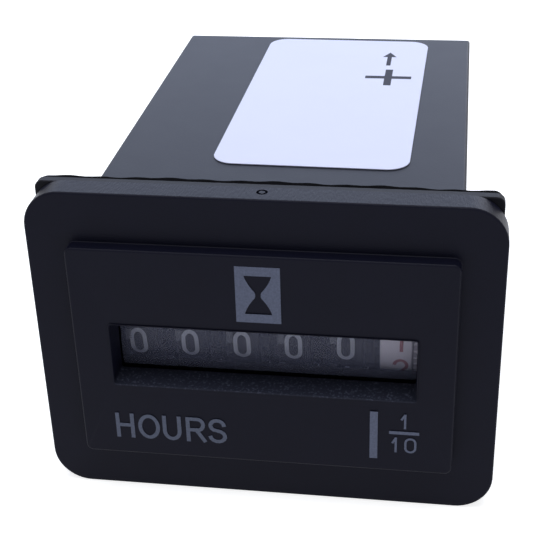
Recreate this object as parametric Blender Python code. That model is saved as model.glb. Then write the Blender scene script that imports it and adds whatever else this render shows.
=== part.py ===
"""Panel-mounted hour meter: a bezel with a window, a long housing, and a six-wheel counter turned by a small stepping
motor through a reduction gear. Every size is in millimetres. In the sizes and places below, x runs to the right,
y to the rear and z up from the centre of the bezel's front face; the finished part is lifted and shifted so that its
origin is the middle of its underside."""

import math

import bmesh
import bpy
from mathutils import Matrix, Vector

MM = 0.001

# Gaps between pieces.
SEAT_GAP = 0.1  # between two flat faces that seat on each other
SLIDE_GAP = 0.3  # round a piece that drops or slides into another
RUNNING_GAP = 0.05  # radial, shaft to turning bore
SIDE_GAP = 0.15  # between turning pieces side by side

# Shapes that make up one piece.
SUNK = 0.1  # overlap of two shapes that are joined
CLEAR = 1.0  # how far a cutting shape runs out of the piece it cuts

# Bezel and its raised panel. Its width and height come from the housing's.
BEZEL_SIDE_LIP = 4.3  # past the housing, left and right
BEZEL_TOP_LIP = 4.5  # past the housing, above and below
BEZEL_THICKNESS = 3.2
BEZEL_CORNER = 4.5
BEZEL_EDGE = 0.6
PANEL_SIDE_INSET = 4.55  # from the bezel's edge, left and right
PANEL_TOP_INSET = 5.6  # from the bezel's edge, above and below
PANEL_RAISE = 1.6
PANEL_CORNER = 0.8
PANEL_EDGE = 0.25
PANEL_WALL = 3.7  # from the panel's face to the window's rear edge
WINDOW_TRIM = 0.76  # of the wheels' room that the window hides at either end
WINDOW_HEIGHT = 7.6
WINDOW_RISE = 0.1  # of the window's centre over the bezel's
WINDOW_CORNER = 0.3
WINDOW_EDGE = 0.15
WINDOW_DRAFT = 0.4  # how far the window's top and bottom come in by its rear edge
END_DRAFT = 0.15  # how far its two ends come in
TONGUE_WIDTH = 28.0
TONGUE_LENGTH = 5.0
TONGUE_THICKNESS = 1.2
BEAD_WIDTH = 20.0
BEAD_HEIGHT = 0.5
BEAD_SETBACK = 2.7
BEAD_LENGTH = 1.9
BEAD_TOP = 0.4
GATE_Y = 1.9
GATE_RADIUS = 0.6
GATE_PIN_RADIUS = 0.33
GATE_DEPTH = 0.25

# Window pane, gasket, housing, label.
LENS_LAP = 1.3  # of the lens past the window, above and below
LENS_THICKNESS = 1.0
LENS_CORNER = 0.5
LENS_RIB = 0.9
LENS_RIB_REACH = 1.2
GASKET_INSET = 0.4  # from the bezel's edge
GASKET_THICKNESS = 1.1
GASKET_CORNER = 1.2
HOUSING_WALL = 1.5
HOUSING_REAR_WALL = 1.8
HOUSING_CORNER = 1.0
HOUSING_EDGE = 0.8  # of the rounding round its rear
LABEL_WIDTH = 23.2
LABEL_LENGTH = 46.2
LABEL_CORNER = 2.6
LABEL_THICKNESS = 0.1
LABEL_X = 3.0
LABEL_SETBACK = 1.3  # of the label's far edge from the housing's rear face

# Counter: black number wheels and the white tenths wheel on one shaft, and the carry pinions under them.
BLACK_WHEELS = ("ten_thousands", "thousands", "hundreds", "tens", "units")
WHEEL_COUNT = len(BLACK_WHEELS) + 1
WHEEL_RADIUS = 7.0
WHEEL_DROP = 0.2  # of the wheels' axis under the window's middle
WHEEL_PITCH = 5.72
WHEEL_RIM = 0.9
WHEEL_WEB = 0.95
WHEEL_HUB_RADIUS = 1.5
WHEEL_SLEEVE_RADIUS = 2.2
WHEEL_SHAFT_RADIUS = 0.75
LENS_TO_WHEEL = 0.2
GEAR_WIDTH = 0.85  # of a wheel's carry gear, and of its carry disc
CARRY_GAP = 0.32  # between a wheel's carry gear and the next wheel's carry disc
CARRY_GEAR_TEETH = 20
CARRY_PINION_TEETH = 8
CARRY_DISC_GAP = 0.2  # between the carry disc's teeth and the pinion
CARRY_TOOTH_ANGLE = 172  # degrees, of the carry disc's first tooth, from the rear over the top
PINION_SHAFT_RADIUS = 0.6
PINION_SHAFT_GAP = 0.3  # between the pinion shaft and the wheels' rims
PINION_ROOM = 1.61  # from the pinions to the housing, for the frame's floor

# Drive: stepping motor, reduction gear, and the gear on the tenths wheel.
DRIVE_MODULE = 0.3
DRIVE_GEAR_GAP = 0.2  # between the tenths wheel's rim, its gear and the reduction gear
TENTHS_GEAR_TEETH = 45
REDUCTION_PINION_TEETH = 9
REDUCTION_GEAR_TEETH = 40
ROTOR_PINION_TEETH = 8
DRIVE_GEAR_WIDTH = 0.65
ARBOR_RADIUS = 0.6
PIVOT_RADIUS = 0.3
PIVOT_SIDES = 12
PIVOT_REACH = 0.7  # share of a bearing's thickness
MAGNET_RADIUS = 2.6
MAGNET_WIDTH = 2.6
MAGNET_GAP = 0.35  # between the magnet and the stator's bore
STATOR_THICKNESS = 0.8
STATOR_RING = 1.25
STATOR_BAR = 4.0
STATOR_EAR = 3.8
STATOR_EAR_LEAD = 2.7  # of the front ear's middle ahead of the rotor's axis
STATOR_EAR_FOOT = 0.5  # of the front ear over the rotor's axis
STATOR_LENGTH = 27.8
STATOR_OFFSET = 3.4  # of the stator plate from the middle of the bearing wall
CORE_THICKNESS = 0.9
CORE_BAR_HEIGHT = 3.0
BOBBIN_WALL = 0.7
BOBBIN_FLANGE = 0.8
BOBBIN_WIDTH = 7.0
BOBBIN_HEIGHT = 6.6
BOBBIN_CORNER = 0.6
COIL_FRONT_GAP = 1.0  # from the stator's front ear to the bobbin
COIL_REAR_GAP = 0.7
WINDING_INSET = 0.3
WINDING_CORNER = 1.4

# Frame of the counter and its side plate.
FRAME_FLOOR = 1.0
FRAME_WALL_TOP = 8.0
SIDE_PLATE_THICKNESS = 0.8
BEARING_WALL = 1.0
BEARING_FRONT = 0.85  # of wall ahead of the reduction gear's pivot
FRAME_NOSE = 3.5  # half the height of the noses that press on the lens
POST_RADIUS = 1.5
POST_LEDGE = 0.5  # of the bearing wall round a post
COIL_CLEARANCE = 0.8  # from the bearing wall's top to the coil
FRAME_OVERHANG = 1.0  # of the walls past the stator's rear ear
LIP_DROP = 3.4  # of the front lip's upper edge under the window's middle
LIP_HEIGHT = 2.2
LIP_EDGE = 0.35  # thickness of the lip's upper edge
LIP_FOOT = 1.3  # thickness of its lower edge, under the wheels' curve
TAB_WIDTH = 3.0
FRONT_TAB_SETBACK = 3.0  # of the floor's front tab behind the reduction gear's axis

# Circuit board, its parts and the terminals.
BOARD_GAP = 0.4  # round the board
BOARD_SETBACK = 6.5  # from the frame's walls to the board
BOARD_THICKNESS = 1.5
BOARD_CORNER = 0.5
BOARD_SCREW_LENGTH = 5.8
BOSS_LENGTH = 6.2
BOSS_RADIUS = 2.0
BOSS_FOOT = 0.5  # of a boss behind its pilot hole
BOSS_INSET = 3.7  # of a boss's middle from the housing's inner side
TERMINAL_X = 6.5
TERMINAL_THICKNESS = 0.8
TERMINAL_WIDTH = 6.3
TERMINAL_LENGTH = 8.0
TERMINAL_SHOULDER = 8.8
TERMINAL_FOOT = 3.0
TERMINAL_FOOT_REACH = 0.8  # through the board
TERMINAL_SLOT_GAP = 0.2
TERMINAL_TIP = 1.0
TERMINAL_HOLE_RADIUS = 0.9
TERMINAL_HOLE_SETBACK = 4.0
SCREW_RADIUS = 0.6
SCREW_HEAD_RADIUS = 1.2
SCREW_HEAD_HEIGHT = 0.8
SCREW_HEAD_EDGE = 0.25
SCREW_SLOT = 0.35
CHIP_PLACE = (0.24, -0.25)  # this and the next places are shares of the board's width and height
CHIP_WIDTH = 5.0
CHIP_HEIGHT = 3.9
CHIP_THICKNESS = 1.4
CHIP_LIFT = 0.2
CHIP_EDGE = 0.2
LEG_ROWS = 4
LEG_PITCH = 1.27
LEG_WIDTH = 0.4
LEG_THICKNESS = 0.2
LEG_HEIGHT = 0.9  # of a leg's upper face over the board
LEG_REACH = 3.0  # of a leg's bend from the chip's middle
CRYSTAL_PLACE = (0.24, 0.21)
CRYSTAL_RADIUS = 1.0
CRYSTAL_LENGTH = 6.0
CAPACITOR_PLACE = (-0.25, 0.25)
CAPACITOR_RADIUS = 3.15
CAPACITOR_LENGTH = 10.0
CAPACITOR_EDGE = 0.3
DIODE_PLACE = (-0.25, -0.165)
DIODE_LENGTH = 4.5
DIODE_RADIUS = 1.3
RESISTOR_PLACE = (-0.25, -0.35)
RESISTOR_LENGTH = 6.0
RESISTOR_RADIUS = 1.1
AXIAL_LIFT = 0.3  # of a diode's or resistor's body over the board
AXIAL_WIRE_REACH = 1.2  # of its wires past the body
AXIAL_WIRE_RADIUS = 0.25
LEAD_RADIUS = 0.2
LEAD_SPREAD = 1.6  # of each coil lead from the coil's axis
LEAD_DROP = 0.5  # of a lead's start under the bobbin's top
LEAD_BEND = 2.0
LEAD_SHIFT = 1.0

# Fineness of round shapes.
WHEEL_SIDES = 40
WHEEL_HOLLOW_SIDES = 24
HUB_SIDES = 16
SCREW_SIDES = 12
SMALL_GEAR = 12  # a gear with fewer teeth has a point on the pitch circle in each flank
SHAFT_SIDES = 16
CORNER_STEPS = 4
BEZEL_CORNER_STEPS = 8

# Teeth: how far they reach past the pitch circle, in modules, and how far pinions and their partners are shifted.
ADDENDUM_RATIO = 0.8
DEDENDUM_RATIO = 1.1
SHIFT_RATIO = 0.5
TENTHS_SHIFT_RATIO = 0.4
BACKLASH = 0.1

# Places from left to right, and the widths that follow from them.
WHEEL_WIDTH = WHEEL_PITCH - 2 * GEAR_WIDTH - CARRY_GAP
WHEEL_HALF = WHEEL_PITCH / 2 - SEAT_GAP / 2  # half the length of a wheel's hub
TENTHS_X = (WHEEL_COUNT - 1) / 2 * WHEEL_PITCH
DRIVE_GEAR_X = TENTHS_X + WHEEL_WIDTH / 2 + DRIVE_GEAR_GAP
REDUCTION_GEAR_X = DRIVE_GEAR_X + DRIVE_GEAR_WIDTH + DRIVE_GEAR_GAP
SIDE_PLATE_X = REDUCTION_GEAR_X + DRIVE_GEAR_WIDTH + SIDE_GAP
FRAME_HALF = SIDE_PLATE_X + SIDE_PLATE_THICKNESS + SEAT_GAP
INNER_WIDTH = 2 * (FRAME_HALF + SLIDE_GAP)
HOUSING_WIDTH = INNER_WIDTH + 2 * HOUSING_WALL
BEZEL_WIDTH = HOUSING_WIDTH + 2 * BEZEL_SIDE_LIP
GASKET_WIDTH = BEZEL_WIDTH - 2 * GASKET_INSET
PANEL_WIDTH = BEZEL_WIDTH - 2 * PANEL_SIDE_INSET
WINDOW_WIDTH = WHEEL_COUNT * WHEEL_PITCH - 2 * WINDOW_TRIM
BOARD_WIDTH = INNER_WIDTH - 2 * BOARD_GAP
BOSS_X = INNER_WIDTH / 2 - BOSS_INSET
BEARING_X = TENTHS_X - WHEEL_WIDTH / 2 - GEAR_WIDTH - BEARING_WALL / 2
STATOR_X = BEARING_X + STATOR_OFFSET
MAGNET_X = STATOR_X + STATOR_THICKNESS / 2

# Places from below to above, and the heights that follow from them.
PINION_SHAFT_DROP = WHEEL_RADIUS + PINION_SHAFT_GAP + PINION_SHAFT_RADIUS
CARRY_MODULE = 2 * PINION_SHAFT_DROP / (CARRY_GEAR_TEETH + CARRY_PINION_TEETH)
PINION_TIP = CARRY_MODULE * (CARRY_PINION_TEETH / 2 + ADDENDUM_RATIO + SHIFT_RATIO)
INNER_HEIGHT = 2 * (PINION_SHAFT_DROP + PINION_TIP + PINION_ROOM)
HOUSING_HEIGHT = INNER_HEIGHT + 2 * HOUSING_WALL
BEZEL_HEIGHT = HOUSING_HEIGHT + 2 * BEZEL_TOP_LIP
GASKET_HEIGHT = BEZEL_HEIGHT - 2 * GASKET_INSET
PANEL_HEIGHT = BEZEL_HEIGHT - 2 * PANEL_TOP_INSET
CORE_HEIGHT = INNER_HEIGHT - 2 * (TONGUE_THICKNESS + 2 * SIDE_GAP)  # of the hollow behind the panel
LENS_HEIGHT = WINDOW_HEIGHT + 2 * LENS_LAP
BOARD_HEIGHT = INNER_HEIGHT - 2 * BOARD_GAP
WHEEL_Z = WINDOW_RISE - WHEEL_DROP
COIL_Z = WHEEL_Z + PINION_SHAFT_DROP

# Places from front to rear.
LENS_Y = PANEL_WALL - PANEL_RAISE
WHEEL_Y = LENS_Y + SEAT_GAP + LENS_THICKNESS + LENS_TO_WHEEL + WHEEL_RADIUS
GASKET_Y = BEZEL_THICKNESS + SEAT_GAP / 2
HOUSING_Y = BEZEL_THICKNESS + SEAT_GAP
REDUCTION_Y = WHEEL_Y + DRIVE_MODULE * (TENTHS_GEAR_TEETH + REDUCTION_PINION_TEETH) / 2
ROTOR_Y = REDUCTION_Y + DRIVE_MODULE * (REDUCTION_GEAR_TEETH + ROTOR_PINION_TEETH) / 2
EAR_FRONT_Y = ROTOR_Y - STATOR_EAR_LEAD  # middles of the stator's two ears, where its screws go
EAR_REAR_Y = EAR_FRONT_Y + STATOR_LENGTH - STATOR_EAR
WALL_END = EAR_REAR_Y + STATOR_EAR / 2 + FRAME_OVERHANG
BOARD_Y = WALL_END + BOARD_SETBACK  # the board's front face
HOUSING_FLOOR = BOARD_Y + BOARD_THICKNESS + SEAT_GAP + BOSS_LENGTH  # the rear wall's inner face
HOUSING_END = HOUSING_FLOOR + HOUSING_REAR_WALL

# The finished part stands on the bezel's lower edge, with its origin in the middle of its length.
PART_LENGTH = PANEL_RAISE + HOUSING_END + TERMINAL_LENGTH
FRONT_Y = PANEL_RAISE - PART_LENGTH / 2

# How an outline drawn as (u, v) and extruded along w lies: along X it is drawn as (y, z), along Y as (x, z).
ALONG = {
    "X": Matrix(((0, 0, 1), (1, 0, 0), (0, 1, 0))),
    "Y": Matrix(((1, 0, 0), (0, 0, -1), (0, 1, 0))),
    "Z": Matrix.Identity(3),
}
AXIS = {"X": Vector((1, 0, 0)), "Y": Vector((0, 1, 0)), "Z": Vector((0, 0, 1))}


def rectangle(width, height, radius=0.0, centre=(0.0, 0.0), steps=CORNER_STEPS):
    """Outline of a rectangle with round corners."""
    u, v = centre
    if radius <= 0:
        return [
            (u - width / 2, v - height / 2),
            (u + width / 2, v - height / 2),
            (u + width / 2, v + height / 2),
            (u - width / 2, v + height / 2),
        ]
    points = []
    for quarter, (across, up) in enumerate(((1, 1), (-1, 1), (-1, -1), (1, -1))):
        corner = (u + across * (width / 2 - radius), v + up * (height / 2 - radius))
        for step in range(steps + 1):
            angle = math.pi / 2 * (quarter + step / steps)
            points.append((corner[0] + radius * math.cos(angle), corner[1] + radius * math.sin(angle)))
    return points


def circle(radius, sides=SHAFT_SIDES, centre=(0.0, 0.0)):
    """Outline of a circle."""
    return [
        (
            centre[0] + radius * math.cos(2 * math.pi * step / sides),
            centre[1] + radius * math.sin(2 * math.pi * step / sides),
        )
        for step in range(sides)
    ]


def gear(teeth, module, shift, first=0.0, present=None):
    """Outline of an involute gear. One tooth's middle points at the angle first, in radians from +u. The shift, in
    modules, thickens the teeth of small pinions and thins those of their partners. Only the teeth in present are
    cut, if it is given, and the rest of the outline stays at the root."""
    pressure = math.radians(20)
    pitch = module * teeth / 2
    base = pitch * math.cos(pressure)
    tip = pitch + module * (ADDENDUM_RATIO + shift)
    root = pitch - module * (DEDENDUM_RATIO - shift)
    half_at_pitch = (math.pi / 2 + 2 * shift * math.tan(pressure)) / teeth - BACKLASH / (2 * pitch)

    def half_angle(radius):
        lean = math.acos(min(1.0, base / radius))
        return half_at_pitch + math.tan(pressure) - pressure - (math.tan(lean) - lean)

    flank = [(root, half_angle(max(root, base))), (tip, half_angle(tip))]
    if teeth < SMALL_GEAR:
        flank.insert(1, (pitch, half_angle(pitch)))
    points = []
    for tooth in range(teeth):
        middle = first + 2 * math.pi * tooth / teeth
        if present is not None and tooth not in present:
            points.append((root, middle))
            continue
        points += [(radius, middle - half) for radius, half in flank]
        points += [(radius, middle + half) for radius, half in reversed(flank)]
    return [(radius * math.cos(angle), radius * math.sin(angle)) for radius, angle in points]


def prism(loops, low, high, along):
    """Mesh of an outline, with the later outlines as its holes, filled and extruded from low to high."""
    curve = bpy.data.curves.new("outline", "CURVE")
    curve.dimensions = "2D"
    curve.fill_mode = "BOTH"
    curve.extrude = (high - low) / 2
    for loop in loops:
        spline = curve.splines.new("POLY")
        spline.points.add(len(loop) - 1)
        for point, (u, v) in zip(spline.points, loop):
            point.co = (u, v, 0, 1)
        spline.use_cyclic_u = True
    mesh = evaluated(bpy.data.objects.new("outline", curve))
    bpy.data.curves.remove(curve)
    turned = ALONG[along].to_4x4()
    mesh.transform(Matrix.Translation(AXIS[along] * (low + high) / 2) @ turned)
    return tidied(mesh)


def evaluated(drawn):
    """Mesh of an object with its modifiers applied. The object goes."""
    bpy.context.scene.collection.objects.link(drawn)
    bpy.context.view_layer.update()
    mesh = bpy.data.meshes.new_from_object(drawn.evaluated_get(bpy.context.evaluated_depsgraph_get()))
    bpy.data.objects.remove(drawn)
    return mesh


def tidied(mesh):
    """The mesh with its doubled points welded, its flat faces made whole and its normals facing out."""
    shape = bmesh.new()
    shape.from_mesh(mesh)
    bmesh.ops.remove_doubles(shape, verts=shape.verts, dist=0.001)
    bmesh.ops.dissolve_limit(shape, angle_limit=math.radians(0.1), verts=shape.verts, edges=shape.edges)
    bmesh.ops.recalc_face_normals(shape, faces=shape.faces)
    shape.to_mesh(mesh)
    shape.free()
    return mesh


def box(x, y, z):
    """Mesh of a box between two places on each axis."""
    shape = bmesh.new()
    bmesh.ops.create_cube(shape, size=1)
    size = Vector((x[1] - x[0], y[1] - y[0], z[1] - z[0]))
    centre = Vector((x[0] + x[1], y[0] + y[1], z[0] + z[1])) / 2
    bmesh.ops.scale(shape, vec=size, verts=shape.verts)
    bmesh.ops.translate(shape, vec=centre, verts=shape.verts)
    mesh = bpy.data.meshes.new("box")
    shape.to_mesh(mesh)
    shape.free()
    return mesh


def combined(operation, base, others):
    """The base mesh with the others joined to it or cut from it, one after the other."""
    for other in others:
        body = bpy.data.objects.new("body", base)
        tool = bpy.data.objects.new("tool", other)
        bpy.context.scene.collection.objects.link(tool)
        modifier = body.modifiers.new("combine", "BOOLEAN")
        modifier.operation = operation
        modifier.object = tool
        base = evaluated(body)
        bpy.data.objects.remove(tool)
    return base


def joined(base, *others):
    """The union of the meshes."""
    return combined("UNION", base, others)


def cut(base, *others):
    """The base mesh without the others."""
    return combined("DIFFERENCE", base, others)


def bevelled(mesh, width, segments, chosen):
    """The mesh with its sharp edges rounded where chosen says so of both their ends."""
    shape = bmesh.new()
    shape.from_mesh(mesh)
    bmesh.ops.dissolve_limit(shape, angle_limit=math.radians(0.1), verts=shape.verts, edges=shape.edges)
    edges = [
        edge
        for edge in shape.edges
        if len(edge.link_faces) == 2
        and edge.calc_face_angle() > math.radians(30)
        and all(chosen(end.co) for end in edge.verts)
    ]
    bmesh.ops.bevel(
        shape, geom=edges, offset=width, segments=segments, profile=0.5, affect="EDGES", clamp_overlap=True
    )
    shape.to_mesh(mesh)
    shape.free()
    return mesh


def tube(points, radius):
    """Mesh of a wire of one radius along the points."""
    curve = bpy.data.curves.new("wire", "CURVE")
    curve.dimensions = "3D"
    curve.bevel_depth = radius
    curve.bevel_resolution = 1
    curve.use_fill_caps = True
    spline = curve.splines.new("POLY")
    spline.points.add(len(points) - 1)
    for point, place in zip(spline.points, points):
        point.co = (*place, 1)
    mesh = evaluated(bpy.data.objects.new("wire", curve))
    bpy.data.curves.remove(curve)
    return tidied(mesh)


def near(value, target):
    """Whether two places are the same, in millimetres."""
    return abs(value - target) < 0.01


def material(name, colour, roughness, metallic=0.0):
    """Principled material, made once for each name."""
    if name in bpy.data.materials:
        return bpy.data.materials[name]
    made = bpy.data.materials.new(name)
    made.use_nodes = True
    shader = made.node_tree.nodes["Principled BSDF"]
    shader.inputs["Base Color"].default_value = (*colour, 1)
    shader.inputs["Roughness"].default_value = roughness
    shader.inputs["Metallic"].default_value = metallic
    made.diffuse_color = (*colour, 1)
    return made


def black_plastic():
    return material("black_plastic", (0.012, 0.012, 0.018), 0.45)


def wheel_plastic():
    return material("black_wheel", (0.01, 0.01, 0.014), 0.5)


def natural_plastic():
    return material("natural_plastic", (0.75, 0.74, 0.68), 0.5)


def steel():
    return material("steel", (0.6, 0.6, 0.62), 0.3, 1.0)


def brass():
    return material("brass", (0.75, 0.58, 0.3), 0.35, 1.0)


def copper():
    return material("copper", (0.7, 0.33, 0.18), 0.35, 1.0)


def add(name, mesh, finish, at=(0.0, 0.0, 0.0)):
    """One piece of the meter, at a place given from the centre of the bezel's front face."""
    if "metres" not in mesh:
        tidied(mesh)
        mesh.transform(Matrix.Scale(MM, 4))
        mesh["metres"] = True
        mesh.shade_smooth()
        mesh.set_sharp_from_angle(angle=math.radians(35))
    mesh.name = name
    mesh.materials.clear()
    mesh.materials.append(finish)
    piece = bpy.data.objects.new(name, mesh)
    meter_collection().objects.link(piece)
    piece.parent = bpy.data.objects["hour_meter"]
    piece.location = Vector(at) * MM
    return piece


def meter_collection():
    """The collection that holds the pieces, made with the empty that carries them."""
    if "hour_meter" in bpy.data.collections:
        return bpy.data.collections["hour_meter"]
    made = bpy.data.collections.new("hour_meter")
    bpy.context.scene.collection.children.link(made)
    carrier = bpy.data.objects.new("hour_meter", None)
    carrier.location = Vector((0, FRONT_Y, BEZEL_HEIGHT / 2)) * MM
    made.objects.link(carrier)
    return made


def window_cutter(low, high):
    """Solid that cuts the window, whose walls come in towards the rear."""
    shape = bmesh.new()
    ends = []
    for y in (low, high):
        share = (y + PANEL_RAISE) / PANEL_WALL
        width = WINDOW_WIDTH - 2 * END_DRAFT * share
        outline = rectangle(width, WINDOW_HEIGHT - 2 * WINDOW_DRAFT * share, WINDOW_CORNER, (0, WINDOW_RISE))
        ends.append([shape.verts.new((x, y, z)) for x, z in outline])
    front, rear = ends
    for here in range(len(front)):
        after = (here + 1) % len(front)
        shape.faces.new((front[here], front[after], rear[after], rear[here]))
    shape.faces.new(front)
    shape.faces.new(rear)
    bmesh.ops.recalc_face_normals(shape, faces=shape.faces)
    mesh = bpy.data.meshes.new("window")
    shape.to_mesh(mesh)
    shape.free()
    return mesh


def make_bezel():
    """Plate with a raised panel and a window, hollow behind the panel, with two tongues that snap into the housing."""
    plate = prism(
        [rectangle(BEZEL_WIDTH, BEZEL_HEIGHT, BEZEL_CORNER, steps=BEZEL_CORNER_STEPS)], 0, BEZEL_THICKNESS, "Y"
    )
    plate = bevelled(plate, BEZEL_EDGE, 3, lambda at: near(at.y, 0))
    panel = prism([rectangle(PANEL_WIDTH, PANEL_HEIGHT, PANEL_CORNER)], -PANEL_RAISE, LENS_Y, "Y")
    panel = bevelled(panel, PANEL_EDGE, 2, lambda at: near(at.y, -PANEL_RAISE))
    bezel = joined(plate, panel)
    core = rectangle(INNER_WIDTH, CORE_HEIGHT)
    bezel = cut(
        bezel,
        window_cutter(-PANEL_RAISE - CLEAR, LENS_Y + SUNK),
        prism([core], LENS_Y, BEZEL_THICKNESS + CLEAR, "Y"),
    )
    reach = (WINDOW_WIDTH + PANEL_WIDTH) / 4
    bezel = bevelled(bezel, WINDOW_EDGE, 2, lambda at: near(at.y, -PANEL_RAISE) and abs(at.x) < reach)
    rib_low = LENS_HEIGHT / 2 + SEAT_GAP
    tongue_out = INNER_HEIGHT / 2 - SIDE_GAP
    bead_y = BEZEL_THICKNESS + BEAD_SETBACK
    for side in (1, -1):
        rib = sorted((WINDOW_RISE + side * rib_low, WINDOW_RISE + side * (rib_low + LENS_RIB)))
        bezel = joined(
            bezel,
            box((-WINDOW_WIDTH / 2, WINDOW_WIDTH / 2), (LENS_Y - SUNK, LENS_Y + LENS_RIB_REACH), rib),
            box(
                (-TONGUE_WIDTH / 2, TONGUE_WIDTH / 2),
                (BEZEL_THICKNESS - SUNK, BEZEL_THICKNESS + TONGUE_LENGTH),
                sorted((side * (tongue_out - TONGUE_THICKNESS), side * tongue_out)),
            ),
            prism(
                [
                    [
                        (bead_y, side * (tongue_out - SUNK)),
                        (bead_y + BEAD_LENGTH, side * (tongue_out - SUNK)),
                        (bead_y + BEAD_LENGTH, side * tongue_out),
                        (bead_y + BEAD_TOP, side * (tongue_out + BEAD_HEIGHT)),
                        (bead_y, side * (tongue_out + BEAD_HEIGHT)),
                    ]
                ],
                -BEAD_WIDTH / 2,
                BEAD_WIDTH / 2,
                "X",
            ),
        )
    gate_top = BEZEL_HEIGHT / 2
    gate = prism(
        [
            circle(GATE_RADIUS, centre=(0, GATE_Y)),
            circle(GATE_PIN_RADIUS, centre=(0, GATE_Y)),
        ],
        gate_top - GATE_DEPTH,
        gate_top + CLEAR,
        "Z",
    )
    add("bezel", cut(bezel, gate), black_plastic())


def make_lens():
    """Clear pane behind the window, held against the panel by the counter's frame."""
    outline = rectangle(INNER_WIDTH - 2 * SEAT_GAP, LENS_HEIGHT, LENS_CORNER, (0, WINDOW_RISE))
    front = LENS_Y + SEAT_GAP
    finish = material("clear_plastic", (0.8, 0.85, 0.9), 0.05)
    add("window_lens", prism([outline], front, front + LENS_THICKNESS, "Y"), finish)


def make_gasket():
    """Rubber ring round the housing's front end, against the bezel's rear face."""
    loops = [
        rectangle(GASKET_WIDTH, GASKET_HEIGHT, GASKET_CORNER),
        rectangle(HOUSING_WIDTH + 2 * SLIDE_GAP, HOUSING_HEIGHT + 2 * SLIDE_GAP, HOUSING_EDGE),
    ]
    rubber = material("rubber", (0.01, 0.01, 0.012), 0.8)
    add("gasket", prism(loops, GASKET_Y, GASKET_Y + GASKET_THICKNESS, "Y"), rubber)


def make_housing():
    """Moulded box, open at the front and closed at the rear, with slots for the terminals and bosses for the board."""
    outside = prism([rectangle(HOUSING_WIDTH, HOUSING_HEIGHT, HOUSING_CORNER)], HOUSING_Y, HOUSING_END, "Y")
    outside = bevelled(outside, HOUSING_EDGE, 3, lambda at: near(at.y, HOUSING_END))
    inside = prism([rectangle(INNER_WIDTH, INNER_HEIGHT, HOUSING_EDGE / 2)], HOUSING_Y - CLEAR, HOUSING_FLOOR, "Y")
    housing = cut(outside, inside)
    groove_y = BEZEL_THICKNESS + BEAD_SETBACK
    groove_low = INNER_HEIGHT / 2 - CLEAR
    groove_high = INNER_HEIGHT / 2 - SIDE_GAP + BEAD_HEIGHT + SIDE_GAP
    for side in (1, -1):
        terminal = side * TERMINAL_X
        slot = rectangle(
            TERMINAL_THICKNESS + 2 * TERMINAL_SLOT_GAP, TERMINAL_WIDTH + 2 * SLIDE_GAP, centre=(terminal, 0)
        )
        post = (side * BOSS_X, 0)
        housing = cut(
            housing,
            box(
                (-BEAD_WIDTH / 2 - SIDE_GAP, BEAD_WIDTH / 2 + SIDE_GAP),
                (groove_y - SIDE_GAP, groove_y + BEAD_LENGTH + SIDE_GAP),
                sorted((side * groove_low, side * groove_high)),
            ),
            prism([slot], HOUSING_FLOOR - CLEAR, HOUSING_END + CLEAR, "Y"),
        )
        boss = prism([circle(BOSS_RADIUS, HUB_SIDES, post)], HOUSING_FLOOR - BOSS_LENGTH, HOUSING_FLOOR + SUNK, "Y")
        pilot = prism(
            [circle(SCREW_RADIUS + SIDE_GAP, centre=post)],
            HOUSING_FLOOR - BOSS_LENGTH - CLEAR,
            HOUSING_FLOOR - BOSS_FOOT,
            "Y",
        )
        housing = cut(joined(housing, boss), pilot)
    add("housing", housing, black_plastic())


def make_label():
    """Sticker on the housing's top, near its rear end."""
    centre = (LABEL_X, HOUSING_END - LABEL_SETBACK - LABEL_LENGTH / 2)
    low = HOUSING_HEIGHT / 2 + SEAT_GAP / 2
    sticker = prism([rectangle(LABEL_WIDTH, LABEL_LENGTH, LABEL_CORNER, centre)], low, low + LABEL_THICKNESS, "Z")
    add("label", sticker, material("paper", (0.74, 0.79, 1.0), 0.5))


def wheel_body():
    """Number wheel without its bore: rim, web and hub, with the carry disc on its left and open on that side."""
    half = WHEEL_WIDTH / 2
    drum = prism([circle(WHEEL_RADIUS, WHEEL_SIDES)], -half, half, "X")
    hollow = prism([circle(WHEEL_RADIUS - WHEEL_RIM, WHEEL_HOLLOW_SIDES)], -half - CLEAR, half - WHEEL_WEB, "X")
    sleeve = prism([circle(WHEEL_SLEEVE_RADIUS, HUB_SIDES)], -half - SUNK, half - WHEEL_WEB + SUNK, "X")
    hub = prism([circle(WHEEL_HUB_RADIUS, HUB_SIDES)], -WHEEL_HALF, 0, "X")
    return joined(cut(drum, hollow), sleeve, hub, carry_disc())


def carry_disc():
    """Disc on a wheel's left with the two teeth that move the next wheel's pinion once a turn."""
    tip = PINION_SHAFT_DROP - PINION_TIP - CARRY_DISC_GAP
    module = tip / (CARRY_GEAR_TEETH / 2 + ADDENDUM_RATIO - SHIFT_RATIO)
    outline = gear(CARRY_GEAR_TEETH, module, -SHIFT_RATIO, math.radians(CARRY_TOOTH_ANGLE), present=(0, 1))
    half = WHEEL_WIDTH / 2
    return prism([outline], -half - GEAR_WIDTH, -half, "X")


def bored(mesh):
    """A wheel with its bore cut through."""
    bore = circle(WHEEL_SHAFT_RADIUS + RUNNING_GAP)
    return cut(mesh, prism([bore], -WHEEL_PITCH, WHEEL_PITCH, "X"))


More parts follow.
